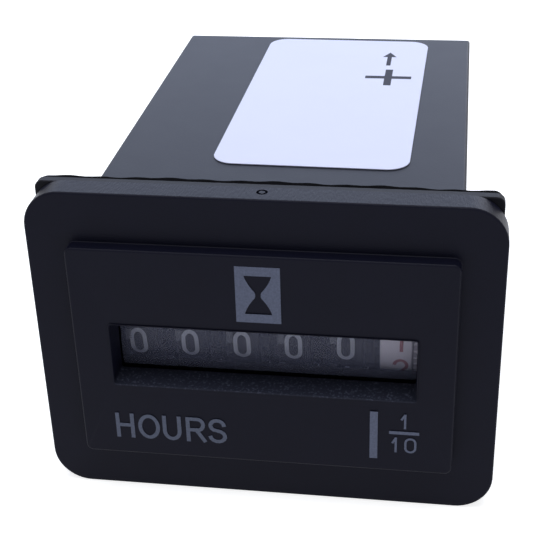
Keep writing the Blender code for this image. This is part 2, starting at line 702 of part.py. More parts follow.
def make_wheels():
    """Five black number wheels with carry gears, and the white tenths wheel with the drive gear."""
    half = WHEEL_WIDTH / 2
    below = math.radians(-90)
    outline = gear(CARRY_GEAR_TEETH, CARRY_MODULE, -SHIFT_RATIO, below)
    carry_gear = prism([outline], half - SUNK, half + GEAR_WIDTH, "X")
    hub = prism([circle(WHEEL_HUB_RADIUS, HUB_SIDES)], half - SUNK, WHEEL_HALF, "X")
    number_wheel = bored(joined(wheel_body(), carry_gear, hub))
    for place, name in enumerate(BLACK_WHEELS):
        x = place * WHEEL_PITCH - TENTHS_X
        add(f"wheel_{name}", number_wheel, wheel_plastic(), (x, WHEEL_Y, WHEEL_Z))
    gear_low = DRIVE_GEAR_X - TENTHS_X
    drive_gear = prism([gear(TENTHS_GEAR_TEETH, DRIVE_MODULE, -TENTHS_SHIFT_RATIO)], gear_low, gear_low + DRIVE_GEAR_WIDTH, "X")
    step = prism([circle(WHEEL_RADIUS - 2 * WHEEL_RIM, HUB_SIDES)], half - SUNK, gear_low + SUNK, "X")
    hub = prism([circle(WHEEL_HUB_RADIUS, HUB_SIDES)], half - SUNK, SIDE_PLATE_X - SIDE_GAP - TENTHS_X, "X")
    tenths_wheel = bored(joined(wheel_body(), step, drive_gear, hub))
    white = material("white_wheel", (0.75, 0.74, 0.76), 0.5)
    add("wheel_tenths", tenths_wheel, white, (TENTHS_X, WHEEL_Y, WHEEL_Z))


def make_shafts():
    """Fixed shafts of the wheels and of the carry pinions, in the frame's left wall and the side plate."""
    reach = FRAME_HALF - SEAT_GAP
    wheel_shaft = prism([circle(WHEEL_SHAFT_RADIUS)], -reach, reach, "X")
    add("wheel_shaft", wheel_shaft, steel(), (0, WHEEL_Y, WHEEL_Z))
    pinion_shaft = prism([circle(PINION_SHAFT_RADIUS)], -reach, reach, "X")
    add("pinion_shaft", pinion_shaft, steel(), (0, WHEEL_Y, WHEEL_Z - PINION_SHAFT_DROP))


def make_carry_pinions():
    """Pinions between the wheels: every second tooth is full width, to be caught by the carry disc."""
    above = math.pi / 2 + math.pi / CARRY_PINION_TEETH
    gap = WHEEL_PITCH - WHEEL_WIDTH
    half = gap / 2 - SIDE_GAP
    outline = gear(CARRY_PINION_TEETH, CARRY_MODULE, SHIFT_RATIO, above)
    every_second = range(1, CARRY_PINION_TEETH, 2)
    long_teeth = gear(CARRY_PINION_TEETH, CARRY_MODULE, SHIFT_RATIO, above, present=every_second)
    narrow = prism([outline], -half, GEAR_WIDTH - gap / 2, "X")
    full = prism([long_teeth], GEAR_WIDTH - gap / 2 - SUNK, half, "X")
    bore = prism([circle(PINION_SHAFT_RADIUS + RUNNING_GAP)], -gap, gap, "X")
    pinion = cut(joined(narrow, full), bore)
    for place, name in enumerate(BLACK_WHEELS):
        at = (place * WHEEL_PITCH - TENTHS_X + WHEEL_PITCH / 2, WHEEL_Y, WHEEL_Z - PINION_SHAFT_DROP)
        add(f"pinion_{name}", pinion, wheel_plastic(), at)


def pivoted(low, high, radius):
    """Arbor between two bearing faces, with a thin pivot in each of them."""
    body = prism([circle(radius)], low + SIDE_GAP, high - SIDE_GAP, "X")
    ends = (low - PIVOT_REACH * BEARING_WALL, high + PIVOT_REACH * SIDE_PLATE_THICKNESS)
    pivot = prism([circle(PIVOT_RADIUS, PIVOT_SIDES)], *ends, "X")
    return joined(body, pivot)


def make_drive():
    """Reduction gear and rotor, on pivots between the bearing wall and the side plate."""
    low = BEARING_X + BEARING_WALL / 2
    towards_wheel = math.pi + math.pi / REDUCTION_PINION_TEETH
    pinion = prism(
        [gear(REDUCTION_PINION_TEETH, DRIVE_MODULE, TENTHS_SHIFT_RATIO, towards_wheel)],
        DRIVE_GEAR_X,
        REDUCTION_GEAR_X + SUNK,
        "X",
    )
    wheel = prism(
        [gear(REDUCTION_GEAR_TEETH, DRIVE_MODULE, -SHIFT_RATIO)],
        REDUCTION_GEAR_X,
        REDUCTION_GEAR_X + DRIVE_GEAR_WIDTH,
        "X",
    )
    arbor = pivoted(low, SIDE_PLATE_X, ARBOR_RADIUS)
    add("reduction_gear", joined(wheel, pinion, arbor), natural_plastic(), (0, REDUCTION_Y, WHEEL_Z))

    towards_reduction = math.pi + math.pi / ROTOR_PINION_TEETH
    small = prism(
        [gear(ROTOR_PINION_TEETH, DRIVE_MODULE, SHIFT_RATIO, towards_reduction)],
        REDUCTION_GEAR_X,
        REDUCTION_GEAR_X + DRIVE_GEAR_WIDTH,
        "X",
    )
    rotor = joined(pivoted(low, SIDE_PLATE_X, ARBOR_RADIUS), small)
    add("rotor_pinion", rotor, natural_plastic(), (0, ROTOR_Y, WHEEL_Z))
    magnet = prism(
        [circle(MAGNET_RADIUS, HUB_SIDES), circle(ARBOR_RADIUS + SEAT_GAP)],
        MAGNET_X - MAGNET_WIDTH / 2,
        MAGNET_X + MAGNET_WIDTH / 2,
        "X",
    )
    add("rotor_magnet", magnet, material("ferrite", (0.08, 0.08, 0.09), 0.5, 0.3), (0, ROTOR_Y, WHEEL_Z))


def make_stator():
    """Stator plate round the rotor, and the coil's core across its two ears, held by two screws."""
    front, rear = EAR_FRONT_Y, EAR_REAR_Y
    bore = MAGNET_RADIUS + MAGNET_GAP
    ear_top = COIL_Z + CORE_BAR_HEIGHT / 2
    low, high = STATOR_X, STATOR_X + STATOR_THICKNESS
    half_bar = STATOR_BAR / 2
    ring = prism([circle(bore + STATOR_RING, 2 * HUB_SIDES, (ROTOR_Y, WHEEL_Z))], low, high, "X")
    bar = box((low, high), (ROTOR_Y + bore, rear + STATOR_EAR / 2), (WHEEL_Z - half_bar, WHEEL_Z + half_bar))
    front_ear = box((low, high), (front - STATOR_EAR / 2, front + STATOR_EAR / 2), (WHEEL_Z + STATOR_EAR_FOOT, ear_top))
    rear_ear = box((low, high), (rear - STATOR_EAR / 2, rear + STATOR_EAR / 2), (WHEEL_Z, ear_top))
    holes = [
        prism([circle(SCREW_RADIUS + SIDE_GAP, centre=(y, COIL_Z))], low - 2 * CLEAR, high + CLEAR, "X") for y in (front, rear)
    ]
    rotor_hole = prism([circle(bore, 2 * HUB_SIDES, (ROTOR_Y, WHEEL_Z))], low - CLEAR, high + CLEAR, "X")
    add("stator_plate", cut(joined(ring, bar, front_ear, rear_ear), rotor_hole, *holes), steel())

    core_high = STATOR_X - SEAT_GAP
    core = box(
        (core_high - CORE_THICKNESS, core_high),
        (front - STATOR_EAR / 2, rear + STATOR_EAR / 2),
        (COIL_Z - CORE_BAR_HEIGHT / 2, ear_top),
    )
    add("coil_core", cut(core, *holes), steel())
    for name, y in (("front", front), ("rear", rear)):
        length = high - (BEARING_X - BEARING_WALL / 2)
        mesh = screw(length)
        mesh.transform(ALONG["X"].to_4x4())
        add(f"stator_screw_{name}", mesh, steel(), (high + SEAT_GAP, y, COIL_Z))


def screw(length):
    """Slotted screw along w: its head above w = 0 and its shank below."""
    head = prism([circle(SCREW_HEAD_RADIUS, SCREW_SIDES)], 0, SCREW_HEAD_HEIGHT, "Z")
    head = bevelled(head, SCREW_HEAD_EDGE, 1, lambda at: near(at.z, SCREW_HEAD_HEIGHT))
    shank = prism([circle(SCREW_RADIUS, SCREW_SIDES)], -length, SUNK, "Z")
    slot = box(
        (-2 * SCREW_HEAD_RADIUS, 2 * SCREW_HEAD_RADIUS),
        (-SCREW_SLOT / 2, SCREW_SLOT / 2),
        (SCREW_HEAD_HEIGHT / 2, 2 * SCREW_HEAD_HEIGHT),
    )
    return cut(joined(head, shank), slot)


def coil_span():
    """Front and rear of the bobbin, between the stator's ears."""
    front, rear = EAR_FRONT_Y, EAR_REAR_Y
    return front + STATOR_EAR / 2 + COIL_FRONT_GAP, rear - STATOR_EAR / 2 - COIL_REAR_GAP


def make_coil():
    """Bobbin on the core, and the winding on the bobbin."""
    centre = (STATOR_X - SEAT_GAP - CORE_THICKNESS / 2, COIL_Z)
    front, rear = coil_span()
    hole = (CORE_THICKNESS + 2 * SIDE_GAP, CORE_BAR_HEIGHT + 2 * SIDE_GAP)
    sleeve = (hole[0] + 2 * BOBBIN_WALL, hole[1] + 2 * BOBBIN_WALL)
    flange = rectangle(BOBBIN_WIDTH, BOBBIN_HEIGHT, BOBBIN_CORNER, centre)
    bobbin = joined(
        prism([rectangle(*sleeve, centre=centre)], front + SUNK, rear - SUNK, "Y"),
        prism([flange], front, front + BOBBIN_FLANGE, "Y"),
        prism([flange], rear - BOBBIN_FLANGE, rear, "Y"),
    )
    passage = prism([rectangle(*hole, centre=centre)], front - CLEAR, rear + CLEAR, "Y")
    add("coil_bobbin", cut(bobbin, passage), material("bobbin", (0.6, 0.1, 0.05), 0.5))
    winding = prism(
        [
            rectangle(BOBBIN_WIDTH - 2 * WINDING_INSET, BOBBIN_HEIGHT - 2 * WINDING_INSET, WINDING_CORNER, centre),
            rectangle(sleeve[0] + 2 * SEAT_GAP, sleeve[1] + 2 * SEAT_GAP, 0, centre),
        ],
        front + BOBBIN_FLANGE + SEAT_GAP,
        rear - BOBBIN_FLANGE - SEAT_GAP,
        "Y",
    )
    add("coil_winding", winding, copper())


def wall_outline(front, rear, low, high):
    """Outline of a side wall, as (y, z), with the nose that presses on the lens."""
    nose = LENS_Y + LENS_THICKNESS + 2 * SEAT_GAP
    return [
        (front, low),
        (rear, low),
        (rear, high),
        (front, high),
        (front, WINDOW_RISE + FRAME_NOSE),
        (nose, WINDOW_RISE + FRAME_NOSE),
        (nose, WINDOW_RISE - FRAME_NOSE),
        (front, WINDOW_RISE - FRAME_NOSE),
    ]


def shaft_holes():
    """Holes of the two fixed shafts, as (y, z)."""
    return [
        circle(WHEEL_SHAFT_RADIUS + SEAT_GAP, centre=(WHEEL_Y, WHEEL_Z)),
        circle(PINION_SHAFT_RADIUS + SEAT_GAP, centre=(WHEEL_Y, WHEEL_Z - PINION_SHAFT_DROP)),
    ]


def pivot_holes():
    """Holes of the reduction gear's and the rotor's pivots, as (y, z)."""
    radius = PIVOT_RADIUS + RUNNING_GAP
    return [circle(radius, PIVOT_SIDES, (y, WHEEL_Z)) for y in (REDUCTION_Y, ROTOR_Y)]


def tab_places():
    """Where the floor's tabs enter the side plate, along y."""
    return REDUCTION_Y + FRONT_TAB_SETBACK, EAR_REAR_Y


def make_counter_frame():
    """Moulded floor with the left wall, the lip in front of the wheels, the bearing wall and the stator's posts."""
    low = -INNER_HEIGHT / 2 + SLIDE_GAP
    floor_top = low + FRAME_FLOOR
    wall_front = BEZEL_THICKNESS + SLIDE_GAP
    left_face = -TENTHS_X - WHEEL_HALF - SIDE_GAP
    wheel_rear = WHEEL_Y + WHEEL_RADIUS
    floor_front = BEZEL_THICKNESS + TONGUE_LENGTH + SLIDE_GAP
    floor = box((-FRAME_HALF, SIDE_PLATE_X - SEAT_GAP), (floor_front, BOARD_Y - SLIDE_GAP), (low, floor_top))
    left_wall = prism(
        [wall_outline(wall_front, wheel_rear, low, FRAME_WALL_TOP), *shaft_holes()], -FRAME_HALF, left_face, "X"
    )
    front, rear = EAR_FRONT_Y, EAR_REAR_Y
    coil_front, coil_rear = coil_span()
    post_top = COIL_Z + POST_RADIUS + POST_LEDGE
    wall_top = COIL_Z - BOBBIN_HEIGHT / 2 - COIL_CLEARANCE
    bearing_front = REDUCTION_Y - BEARING_FRONT
    bearing_outline = [
        (bearing_front, floor_top - SUNK),
        (WALL_END, floor_top - SUNK),
        (WALL_END, post_top),
        (coil_rear + SLIDE_GAP, post_top),
        (coil_rear + SLIDE_GAP, wall_top),
        (coil_front - SLIDE_GAP, wall_top),
        (coil_front - SLIDE_GAP, post_top),
        (front - STATOR_EAR / 2, post_top),
        (front - STATOR_EAR / 2, wall_top),
        (bearing_front, wall_top),
    ]
    wall_low, wall_high = BEARING_X - BEARING_WALL / 2, BEARING_X + BEARING_WALL / 2
    bearing_wall = prism([bearing_outline, *pivot_holes()], wall_low, wall_high, "X")
    core_low = STATOR_X - SEAT_GAP - CORE_THICKNESS
    lip_top = WINDOW_RISE - LIP_DROP
    lip_outline = [
        (wall_front, lip_top - LIP_HEIGHT),
        (wall_front + LIP_FOOT, lip_top - LIP_HEIGHT),
        (wall_front + LIP_EDGE, lip_top),
        (wall_front, lip_top),
    ]
    lip = prism([lip_outline], -FRAME_HALF, SIDE_PLATE_X - SEAT_GAP, "X")
    frame = joined(floor, left_wall, bearing_wall, lip)
    for y in (front, rear):
        post = prism([circle(POST_RADIUS, HUB_SIDES, (y, COIL_Z))], wall_high - SUNK, core_low - SEAT_GAP, "X")
        frame = joined(frame, post)
    for y in (front, rear):
        pilot = prism([circle(SCREW_RADIUS + SIDE_GAP, centre=(y, COIL_Z))], wall_low - CLEAR, core_low + CLEAR, "X")
        frame = cut(frame, pilot)
    for y in tab_places():
        tab = box(
            (SIDE_PLATE_X - CLEAR, FRAME_HALF - SEAT_GAP), (y - TAB_WIDTH / 2, y + TAB_WIDTH / 2), (low, floor_top)
        )
        frame = joined(frame, tab)
    add("counter_frame", frame, black_plastic())


def make_side_plate():
    """Right bearing plate, notched over the floor's tabs."""
    low = -INNER_HEIGHT / 2 + SLIDE_GAP
    outline = wall_outline(BEZEL_THICKNESS + SLIDE_GAP, WALL_END, low, FRAME_WALL_TOP)
    plate = prism(
        [outline, *shaft_holes(), *pivot_holes()], SIDE_PLATE_X, SIDE_PLATE_X + SIDE_PLATE_THICKNESS, "X"
    )
    for y in tab_places():
        reach = TAB_WIDTH / 2 + SIDE_GAP
        notch = box(
            (SIDE_PLATE_X - CLEAR, FRAME_HALF + CLEAR),
            (y - reach, y + reach),
            (low - CLEAR, low + FRAME_FLOOR + SIDE_GAP),
        )
        plate = cut(plate, notch)
    add("side_plate", plate, black_plastic())


def make_board():
    """Circuit board on the housing's two bosses, and its screws."""
    foot = (TERMINAL_THICKNESS + 2 * TERMINAL_SLOT_GAP, TERMINAL_FOOT + 2 * TERMINAL_SLOT_GAP)
    loops = [rectangle(BOARD_WIDTH, BOARD_HEIGHT, BOARD_CORNER)]
    for side in (1, -1):
        loops.append(circle(SCREW_RADIUS + SLIDE_GAP, centre=(side * BOSS_X, 0)))
        loops.append(rectangle(*foot, centre=(side * TERMINAL_X, 0)))
    green = material("board", (0.02, 0.12, 0.05), 0.4)
    add("circuit_board", prism(loops, BOARD_Y, BOARD_Y + BOARD_THICKNESS, "Y"), green)
    for name, side in (("left", -1), ("right", 1)):
        mesh = screw(BOARD_SCREW_LENGTH)
        mesh.transform(ALONG["Y"].to_4x4())
        add(f"board_screw_{name}", mesh, steel(), (side * BOSS_X, BOARD_Y - SEAT_GAP, 0))


def on_board(place):
    """Place on the board from its shares of the board's width and height."""
    return place[0] * BOARD_WIDTH, place[1] * BOARD_HEIGHT


def make_board_parts():
    """Driver chip, crystal, capacitor, diode and resistor on the board's front face."""
    face = BOARD_Y - SEAT_GAP
    add("driver_chip", chip(face), dark_epoxy())
    x, z = on_board(CRYSTAL_PLACE)
    can = prism(
        [circle(CRYSTAL_RADIUS, centre=(x, face - CRYSTAL_RADIUS))],
        z - CRYSTAL_LENGTH / 2,
        z + CRYSTAL_LENGTH / 2,
        "Z",
    )
    add("quartz_crystal", can, steel())
    front = face - CAPACITOR_LENGTH
    capacitor = prism([circle(CAPACITOR_RADIUS, HUB_SIDES, on_board(CAPACITOR_PLACE))], front, face, "Y")
    capacitor = bevelled(capacitor, CAPACITOR_EDGE, 2, lambda at: near(at.y, front))
    add("smoothing_capacitor", capacitor, material("capacitor", (0.03, 0.03, 0.12), 0.4))
    add("protection_diode", axial(DIODE_LENGTH, DIODE_RADIUS, face, on_board(DIODE_PLACE)), dark_epoxy())
    resistor = axial(RESISTOR_LENGTH, RESISTOR_RADIUS, face, on_board(RESISTOR_PLACE))
    add("series_resistor", resistor, material("resistor", (0.5, 0.4, 0.25), 0.5))


def dark_epoxy():
    return material("chip", (0.02, 0.02, 0.02), 0.5)


def chip(face):
    """Surface-mounted chip with two rows of bent legs."""
    x, z = on_board(CHIP_PLACE)
    front = face - CHIP_LIFT - CHIP_THICKNESS
    body = box(
        (x - CHIP_WIDTH / 2, x + CHIP_WIDTH / 2),
        (front, face - CHIP_LIFT),
        (z - CHIP_HEIGHT / 2, z + CHIP_HEIGHT / 2),
    )
    body = bevelled(body, CHIP_EDGE, 1, lambda at: near(at.y, front))
    top = face - LEG_HEIGHT
    legs = []
    for row in range(LEG_ROWS):
        middle = x + (row - (LEG_ROWS - 1) / 2) * LEG_PITCH
        width = (middle - LEG_WIDTH / 2, middle + LEG_WIDTH / 2)
        for side in (1, -1):
            root = z + side * (CHIP_HEIGHT / 2 - SUNK)
            bend = z + side * LEG_REACH
            legs.append(box(width, (top, top + LEG_THICKNESS), sorted((root, bend))))
            foot = sorted((bend - side * SUNK, bend + side * LEG_THICKNESS))
            legs.append(box(width, (top, face), foot))
    return joined(body, *legs)


def axial(length, radius, face, place):
    """Axial part lying across the board, on its two bent wires."""
    x, z = place
    axis_y = face - radius - AXIAL_LIFT
    body = prism([circle(radius, centre=(axis_y, z))], x - length / 2, x + length / 2, "X")
    reach = length / 2 + AXIAL_WIRE_REACH
    wire = [(x - reach, face, z), (x - reach, axis_y, z), (x + reach, axis_y, z), (x + reach, face, z)]
    return joined(tube(wire, AXIAL_WIRE_RADIUS), body)


def make_terminals():
    """Blade terminals: a foot through the board, a shoulder behind the rear wall and a blade outside it."""
    foot_front = BOARD_Y - TERMINAL_FOOT_REACH
    shoulder_front = BOARD_Y + BOARD_THICKNESS + SLIDE_GAP
    shoulder_rear = HOUSING_FLOOR - SEAT_GAP
    end = HOUSING_END + TERMINAL_LENGTH
    upper = [
        (foot_front, TERMINAL_FOOT / 2),
        (shoulder_front, TERMINAL_FOOT / 2),
        (shoulder_front, TERMINAL_SHOULDER / 2),
        (shoulder_rear, TERMINAL_SHOULDER / 2),
        (shoulder_rear, TERMINAL_WIDTH / 2),
        (end - TERMINAL_TIP, TERMINAL_WIDTH / 2),
        (end, TERMINAL_WIDTH / 2 - TERMINAL_TIP),
    ]
    outline = [(y, -z) for y, z in upper] + [(y, z) for y, z in reversed(upper)]
    hole = circle(TERMINAL_HOLE_RADIUS, centre=(end - TERMINAL_HOLE_SETBACK, 0))
    half = TERMINAL_THICKNESS / 2
    for name, side in (("positive", -1), ("negative", 1)):
        blade = prism([outline, hole], side * TERMINAL_X - half, side * TERMINAL_X + half, "X")
        add(f"terminal_{name}", blade, brass())


def make_coil_leads():
    """Two wires from the bobbin's rear flange over the stator's end to the board."""
    rear = coil_span()[1]
    start_z = COIL_Z + BOBBIN_HEIGHT / 2 - LEAD_DROP
    centre = STATOR_X - SEAT_GAP - CORE_THICKNESS / 2
    for name, side in (("left", -1), ("right", 1)):
        x = centre + side * LEAD_SPREAD
        points = [
            (x, rear + SEAT_GAP, start_z),
            (x, rear + LEAD_BEND, start_z + SLIDE_GAP),
            (x, BOARD_Y - 2 * LEAD_BEND, start_z),
            (x - LEAD_SHIFT, BOARD_Y - LEAD_BEND, start_z - LEAD_SHIFT),
            (x - LEAD_SHIFT, BOARD_Y - SEAT_GAP, start_z - LEAD_SHIFT),
        ]
        add(f"coil_lead_{name}", tube(points, LEAD_RADIUS), copper())


def main():
    for old in list(bpy.data.objects):
        bpy.data.objects.remove(old)
    make_bezel()
    make_lens()
    make_gasket()
    make_housing()
    make_label()
    make_wheels()
    make_shafts()
    make_carry_pinions()
    make_drive()
    make_stator()
    make_coil()
    make_counter_frame()
    make_side_plate()
    make_board()
    make_board_parts()
    make_terminals()
    make_coil_leads()


main()
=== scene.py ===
"""Looks of a panel-mounted hour meter, built around its CAD frame: a bezel with a raised panel and a window,
six number wheels behind a clear pane, and a long housing with a label. Sizes are in millimetres. Places are
given from the centre of the bezel's front face: x to the right, y to the rear, z up."""

import math

import bmesh
import bpy
from mathutils import Matrix, Vector


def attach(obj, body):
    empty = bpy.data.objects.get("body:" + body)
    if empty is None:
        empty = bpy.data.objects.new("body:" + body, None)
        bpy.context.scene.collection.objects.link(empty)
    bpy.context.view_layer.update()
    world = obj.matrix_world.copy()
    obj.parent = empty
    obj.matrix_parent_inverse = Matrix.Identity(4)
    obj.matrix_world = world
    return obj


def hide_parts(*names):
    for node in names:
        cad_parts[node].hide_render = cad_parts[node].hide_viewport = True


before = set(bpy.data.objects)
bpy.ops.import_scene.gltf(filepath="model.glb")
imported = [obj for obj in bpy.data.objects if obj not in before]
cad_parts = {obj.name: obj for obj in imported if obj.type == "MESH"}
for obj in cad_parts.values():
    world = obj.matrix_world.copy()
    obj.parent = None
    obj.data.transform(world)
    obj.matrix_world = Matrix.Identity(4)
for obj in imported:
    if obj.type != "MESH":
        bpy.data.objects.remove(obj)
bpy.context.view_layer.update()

MM = 0.001
FRONT = Vector((0, -36.2, 18.5))  # centre of the bezel's front face in the part's own frame
EMBED = 0.1  # how far a piece reaches into the one that it stands on
SHARP = math.radians(40)  # between two faces, from where their edge is shaded as sharp
HAIR = 0.01  # a distance too small to see

# Camera, in the same frame as the places.
IMAGE = 533
FOCAL = 1228.32  # in pixels
SENSOR = 36.0
CAMERA_AT = Vector((19.106, -109.627, 71.042))
CAMERA_YAW = -0.167
CAMERA_PITCH = math.radians(28.382)
CAMERA_ROLL = math.radians(-1.919)

# Bezel.
BEZEL = (50.0, 37.0, 4.1)  # width, height, corner radius
BEZEL_THICKNESS = 3.2
BEZEL_EDGE = 0.25
REAR_EDGE = 0.15
LEAST_RADIUS = 0.04  # of a corner that is moved in
PANEL = (40.9, 25.8, 0.8)
PANEL_RAISE = 1.6
PANEL_EDGE = 0.25
PANEL_FILLET = 0.07
WINDOW = (32.8, 7.48, 0.3)
WINDOW_RISE = 0.04
WINDOW_EDGE = 0.15
CORE = (38.4, 22.0, 0.3)
WINDOW_DRAFT = (0.15, 0.4)  # how far the window's ends, and its top and bottom, come in by the lens
LENS_Y = 2.1
LENS_GROOVE = (1.45, 0.35)  # groove in front of the lens: where it starts, depth
# A near-black matt strip in that groove, in front of the lens, paints the shade there; its front and rear:
PAINTED_SHADE_Y = (1.9, 2.08)
PAINTED_SHADE_PLAY = 0.02  # between the painted-shade strip and its groove
EDGE_STEPS = 5
TONGUE = (28.0, 5.0, 1.2)
TONGUE_Z = 11.75
TONGUE_EDGE = 0.1
GATE = (0.1, 1.9, 0.6, 0.33, 0.25)  # x, y, radius, pin radius, depth
GATE_STEPS = 6

# Moulded streaks of the bezel, and light painted on its window's sill, in the part's own frame.
GRAIN_DEPTH = 0.02
STREAK = 0.22  # share of a grain's width to its length, from front to rear
STREAK_DEPTH = (0.015, 0.055)  # on upright faces, and on those that look up
BARE_Z = (31.3, 2.0)  # height of the raised panel's top, which has no deep streaks, and reach
SILL_LIGHT_Z = (15.0, 1.0)  # height of the window's sill, and reach
SILL_LIGHT_Y = (-34.1, -37.8)  # rear and front of the painted light
SILL_LIGHT_REAR = 0.5  # share of the painted light at its rear, where the sill lies in shade
SILL_GLINT_GRAIN = 0.3
SILL_GLINT_NOISE = (0.53, 0.71)  # noise of spots without and with painted glints
SILL_LIGHT_BETWEEN_GLINTS = 0.27  # share of the painted light between its glints
SILL_LIGHT_COLOUR = (0.1, 0.11, 0.155)

# Gasket, housing and label.
GASKET = (49.0, 36.5, 0.9)
GASKET_HOLE = (42.0, 28.6, 0.8)
GASKET_Y = (3.25, 4.3)
GASKET_CHAMFER = 0.1
GASKET_EDGE = (0.85, 0.2, 0.11)  # of its dark rear edge: depth, drop, and the waves in it
GASKET_WAVES = (0.55, 1.7, 0.9)  # radians per millimetre: two along x, one along z
GASKET_BOW = (0.35, 24.0)  # of that edge's top: how far it bows to the rear, and half its length
GASKET_INSIDE = 2.0  # how far that edge reaches inwards
HOUSING = (41.4, 28.0, 0.4)
HOUSING_CAVITY = (38.4, 25.0, 0.4)
HOUSING_Y = (3.3, 66.0)
HOUSING_FLOOR = 64.2
HOUSING_EDGE = (0.8, 0.25)  # of its rear: at the sides, and at the top and bottom
TERMINAL_X = 6.5
TERMINAL_SLOT = (1.2, 6.9)
REAR_SIGN = (5.0, 1.3, 0.3, 0.2, 0.08)  # from the terminal, half length, half width, height, edge
LABEL = (22.95, 45.9, 2.6)
LABEL_AT = (3.02, 41.5)
LABEL_TURN = math.radians(-0.8)
LABEL_Z = (14.05, 14.15)
LABEL_EDGE = 0.03
LABEL_STEPS = 16
PLUS_AT = (9.9, 48.9)  # of the polarity sign on the label
PLUS_SIZE = 6.2
PLUS_STROKE = 1.0
ARROW_X = 9.6
ARROW_Y = (53.7, 59.2)
ARROW_HEAD = 1.9
ARROW_STROKE = 0.6

# Number wheels.
WHEEL_PITCH = 5.72
WHEEL_Y = 10.4
WHEEL_Z = -0.1
WHEEL_RADIUS = 7.0
WHEEL_HALF = 1.85
WHEEL_SIDES = 96
WHEEL_HUB = (2.81, 1.5, 0.8)  # how far it reaches from the middle, radius, bore
WHEEL_COLLAR = (0.1, 2.2)  # how far it stands out to the left, radius
WHEEL_WEB = 0.95
WHEEL_RIM = (6.1, 0.12)  # inner radius, chamfer
DISC_GEAR = (20, 6.1, 4.75, -math.pi / 2)  # this and the next two: teeth, tip radius, root radius, first tooth
CARRY_TEETH = (20, 4.71, 3.84, math.radians(172))
DRIVE_GEAR = (45, 6.87, 6.3, 0.0)
CARRY_COUNT = 2  # of the carry teeth that are there
GEAR_REACH = 0.85  # of a gear beside its wheel
TOOTH = (0.62, 0.25)  # half its width at the root and at the tip, as shares of half a pitch
DIGIT_SIZE = (1.95, 3.68)  # width, height
TENTHS_DIGIT = (1.75, 3.35)
ONE = (-0.2, 0.62)  # of the 1: its shift, and the share of the upper half that it fills
DIGIT_ROOT = 0.05  # how far digits reach into the wheel
DIGIT_STROKE = 0.47
TENTHS_STROKE = 0.38
WHEELS = ("ten_thousands", "thousands", "hundreds", "tens", "units")
DIGIT_SHIFT = (-0.42, -0.26, -0.13, -0.12, -0.09)  # of the digits to the right of each wheel's middle
DIGIT_RISE = (-9.5, -8.5, -7.2, -5.4, -2.5)  # degrees, of the shown digit above the wheel's front
TENTHS_SHIFT = (-0.34, 0.14)  # of the tenths drum and of its digits
TENTHS_HALF = 1.77  # half the tenths drum's width
TENTHS_HUB = 2.45  # how far its hub reaches to the left
TENTHS_CARRY = 0.8  # reach of its carry teeth
TENTHS_DRIVE = (0.1, 0.7)  # of its toothed ring: start and end beside the drum
TENTHS_DISC = (10.4, 10.4, 5.19)  # width, height and corner radius of the disc that carries the ring
TENTHS_DISC_END = 0.2
TENTHS_RISE = 45.2  # degrees, of the tenths wheel's 0
LAND = (0.7, 11.0, 0.02)  # the lighter land by each digit: width, degrees, thickness
LAND_X = -1.5
LAND_RISE = 8.0  # degrees, of its middle above the digit's middle

# Print on the panel.
INK = 0.02  # thickness
INK_ROOT = 0.01  # how far print reaches into its ground
INK_STEP = 0.12  # share by which strokes that cross differ in depth
SIGN = ((-2.48, 2.25), (5.12, 11.70))  # rectangle round the hourglass, x and z
GLASS = ((-1.54, 1.34), (6.13, 10.65))
GLASS_NECK = 0.58
GLASS_WAIST = 0.12  # share of its half height that stays narrow
GLASS_BELLY = 0.5
GLASS_ROWS = 24
WORD = (
    ("H", -16.70, -14.60),
    ("O", -14.17, -11.70),
    ("U", -11.38, -9.27),
    ("R", -8.73, -6.50),
    ("S", -6.25, -4.15),
)
WORD_Z = (-10.75, -7.50)
WORD_STROKE = 0.44
BAR = ((11.56, 12.41), (-11.30, -5.18))
LINE = ((13.64, 16.86), (-7.95, -7.57))
FRACTION = (
    ("1", 14.80, 15.62, -7.21, -5.32),
    ("1", 13.88, 14.66, -10.35, -8.37),
    ("0", 15.30, 16.60, -10.35, -8.37),
)
FRACTION_STROKE = 0.24
SQUARE_SIGNS = "1H74"  # signs whose strokes all end at the edge of their box
ROUND_SIGNS = "S352069"  # signs whose strokes end short of it
ROUND_END = 0.3

# Stage.
FILL = (0.92, 0.95, 1.0)
FILL_STRENGTH = 0.28
FLOOR_HALF = 3  # metres
FLOOR_DROP = 0.00002  # metres
FLOOR_GREY = 0.75
FLOOR_GLOW = (0.35, 0.79)  # for other rays, and for those that reach the eye
LAMPS = (  # name, place and target in metres, size, power, colour
    ("overhead", (0.0, -0.02, 0.55), (0, 0, 0.02), 0.5, 1.95, (0.88, 0.91, 1.0)),
    ("backdrop_glow", (-0.10, 0.55, 0.31), (0, 0, 0.03), 0.55, 1.45, (0.54, 0.67, 1.0)),
    ("corner_glow", (0.17, 0.60, 0.24), (0, 0, 0.03), 0.2, 0.45, (0.75, 0.8, 1.0)),
)


# Shapes.


def outline(width, height, radius, centre=(0.0, 0.0), steps=12):
    """Outline of a rectangle with round corners, in a plane."""
    points = []
    for quarter, (across, up) in enumerate(((1, 1), (-1, 1), (-1, -1), (1, -1))):
        u = centre[0] + across * (width / 2 - radius)
        v = centre[1] + up * (height / 2 - radius)
        for step in range(steps + 1):
            angle = math.pi / 2 * (quarter + step / steps)
            points.append((u + radius * math.cos(angle), v + radius * math.sin(angle)))
    return points


def circle(radius, centre):
    """Outline of a circle, in a plane; its sides are just long enough that no two points meet."""
    return outline(2 * radius, 2 * radius, radius - 0.001, centre, GATE_STEPS)


def standing(points, along, w):
    """The plane outline at w along an axis: (x, z) along Y, (x, y) along Z, (y, z) along X."""
    if along == "Y":
        return [Vector((u, w, v)) for u, v in points]
    if along == "Z":
        return [Vector((u, v, w)) for u, v in points]
    return [Vector((w, u, v)) for u, v in points]


def inset(size, by, y, centre=(0.0, 0.0)):
    """Ring of a rounded rectangle moved in by a distance, at y."""
    width, height, radius = size
    return standing(outline(width - 2 * by, height - 2 * by, max(radius - by, LEAST_RADIUS), centre), "Y", y)


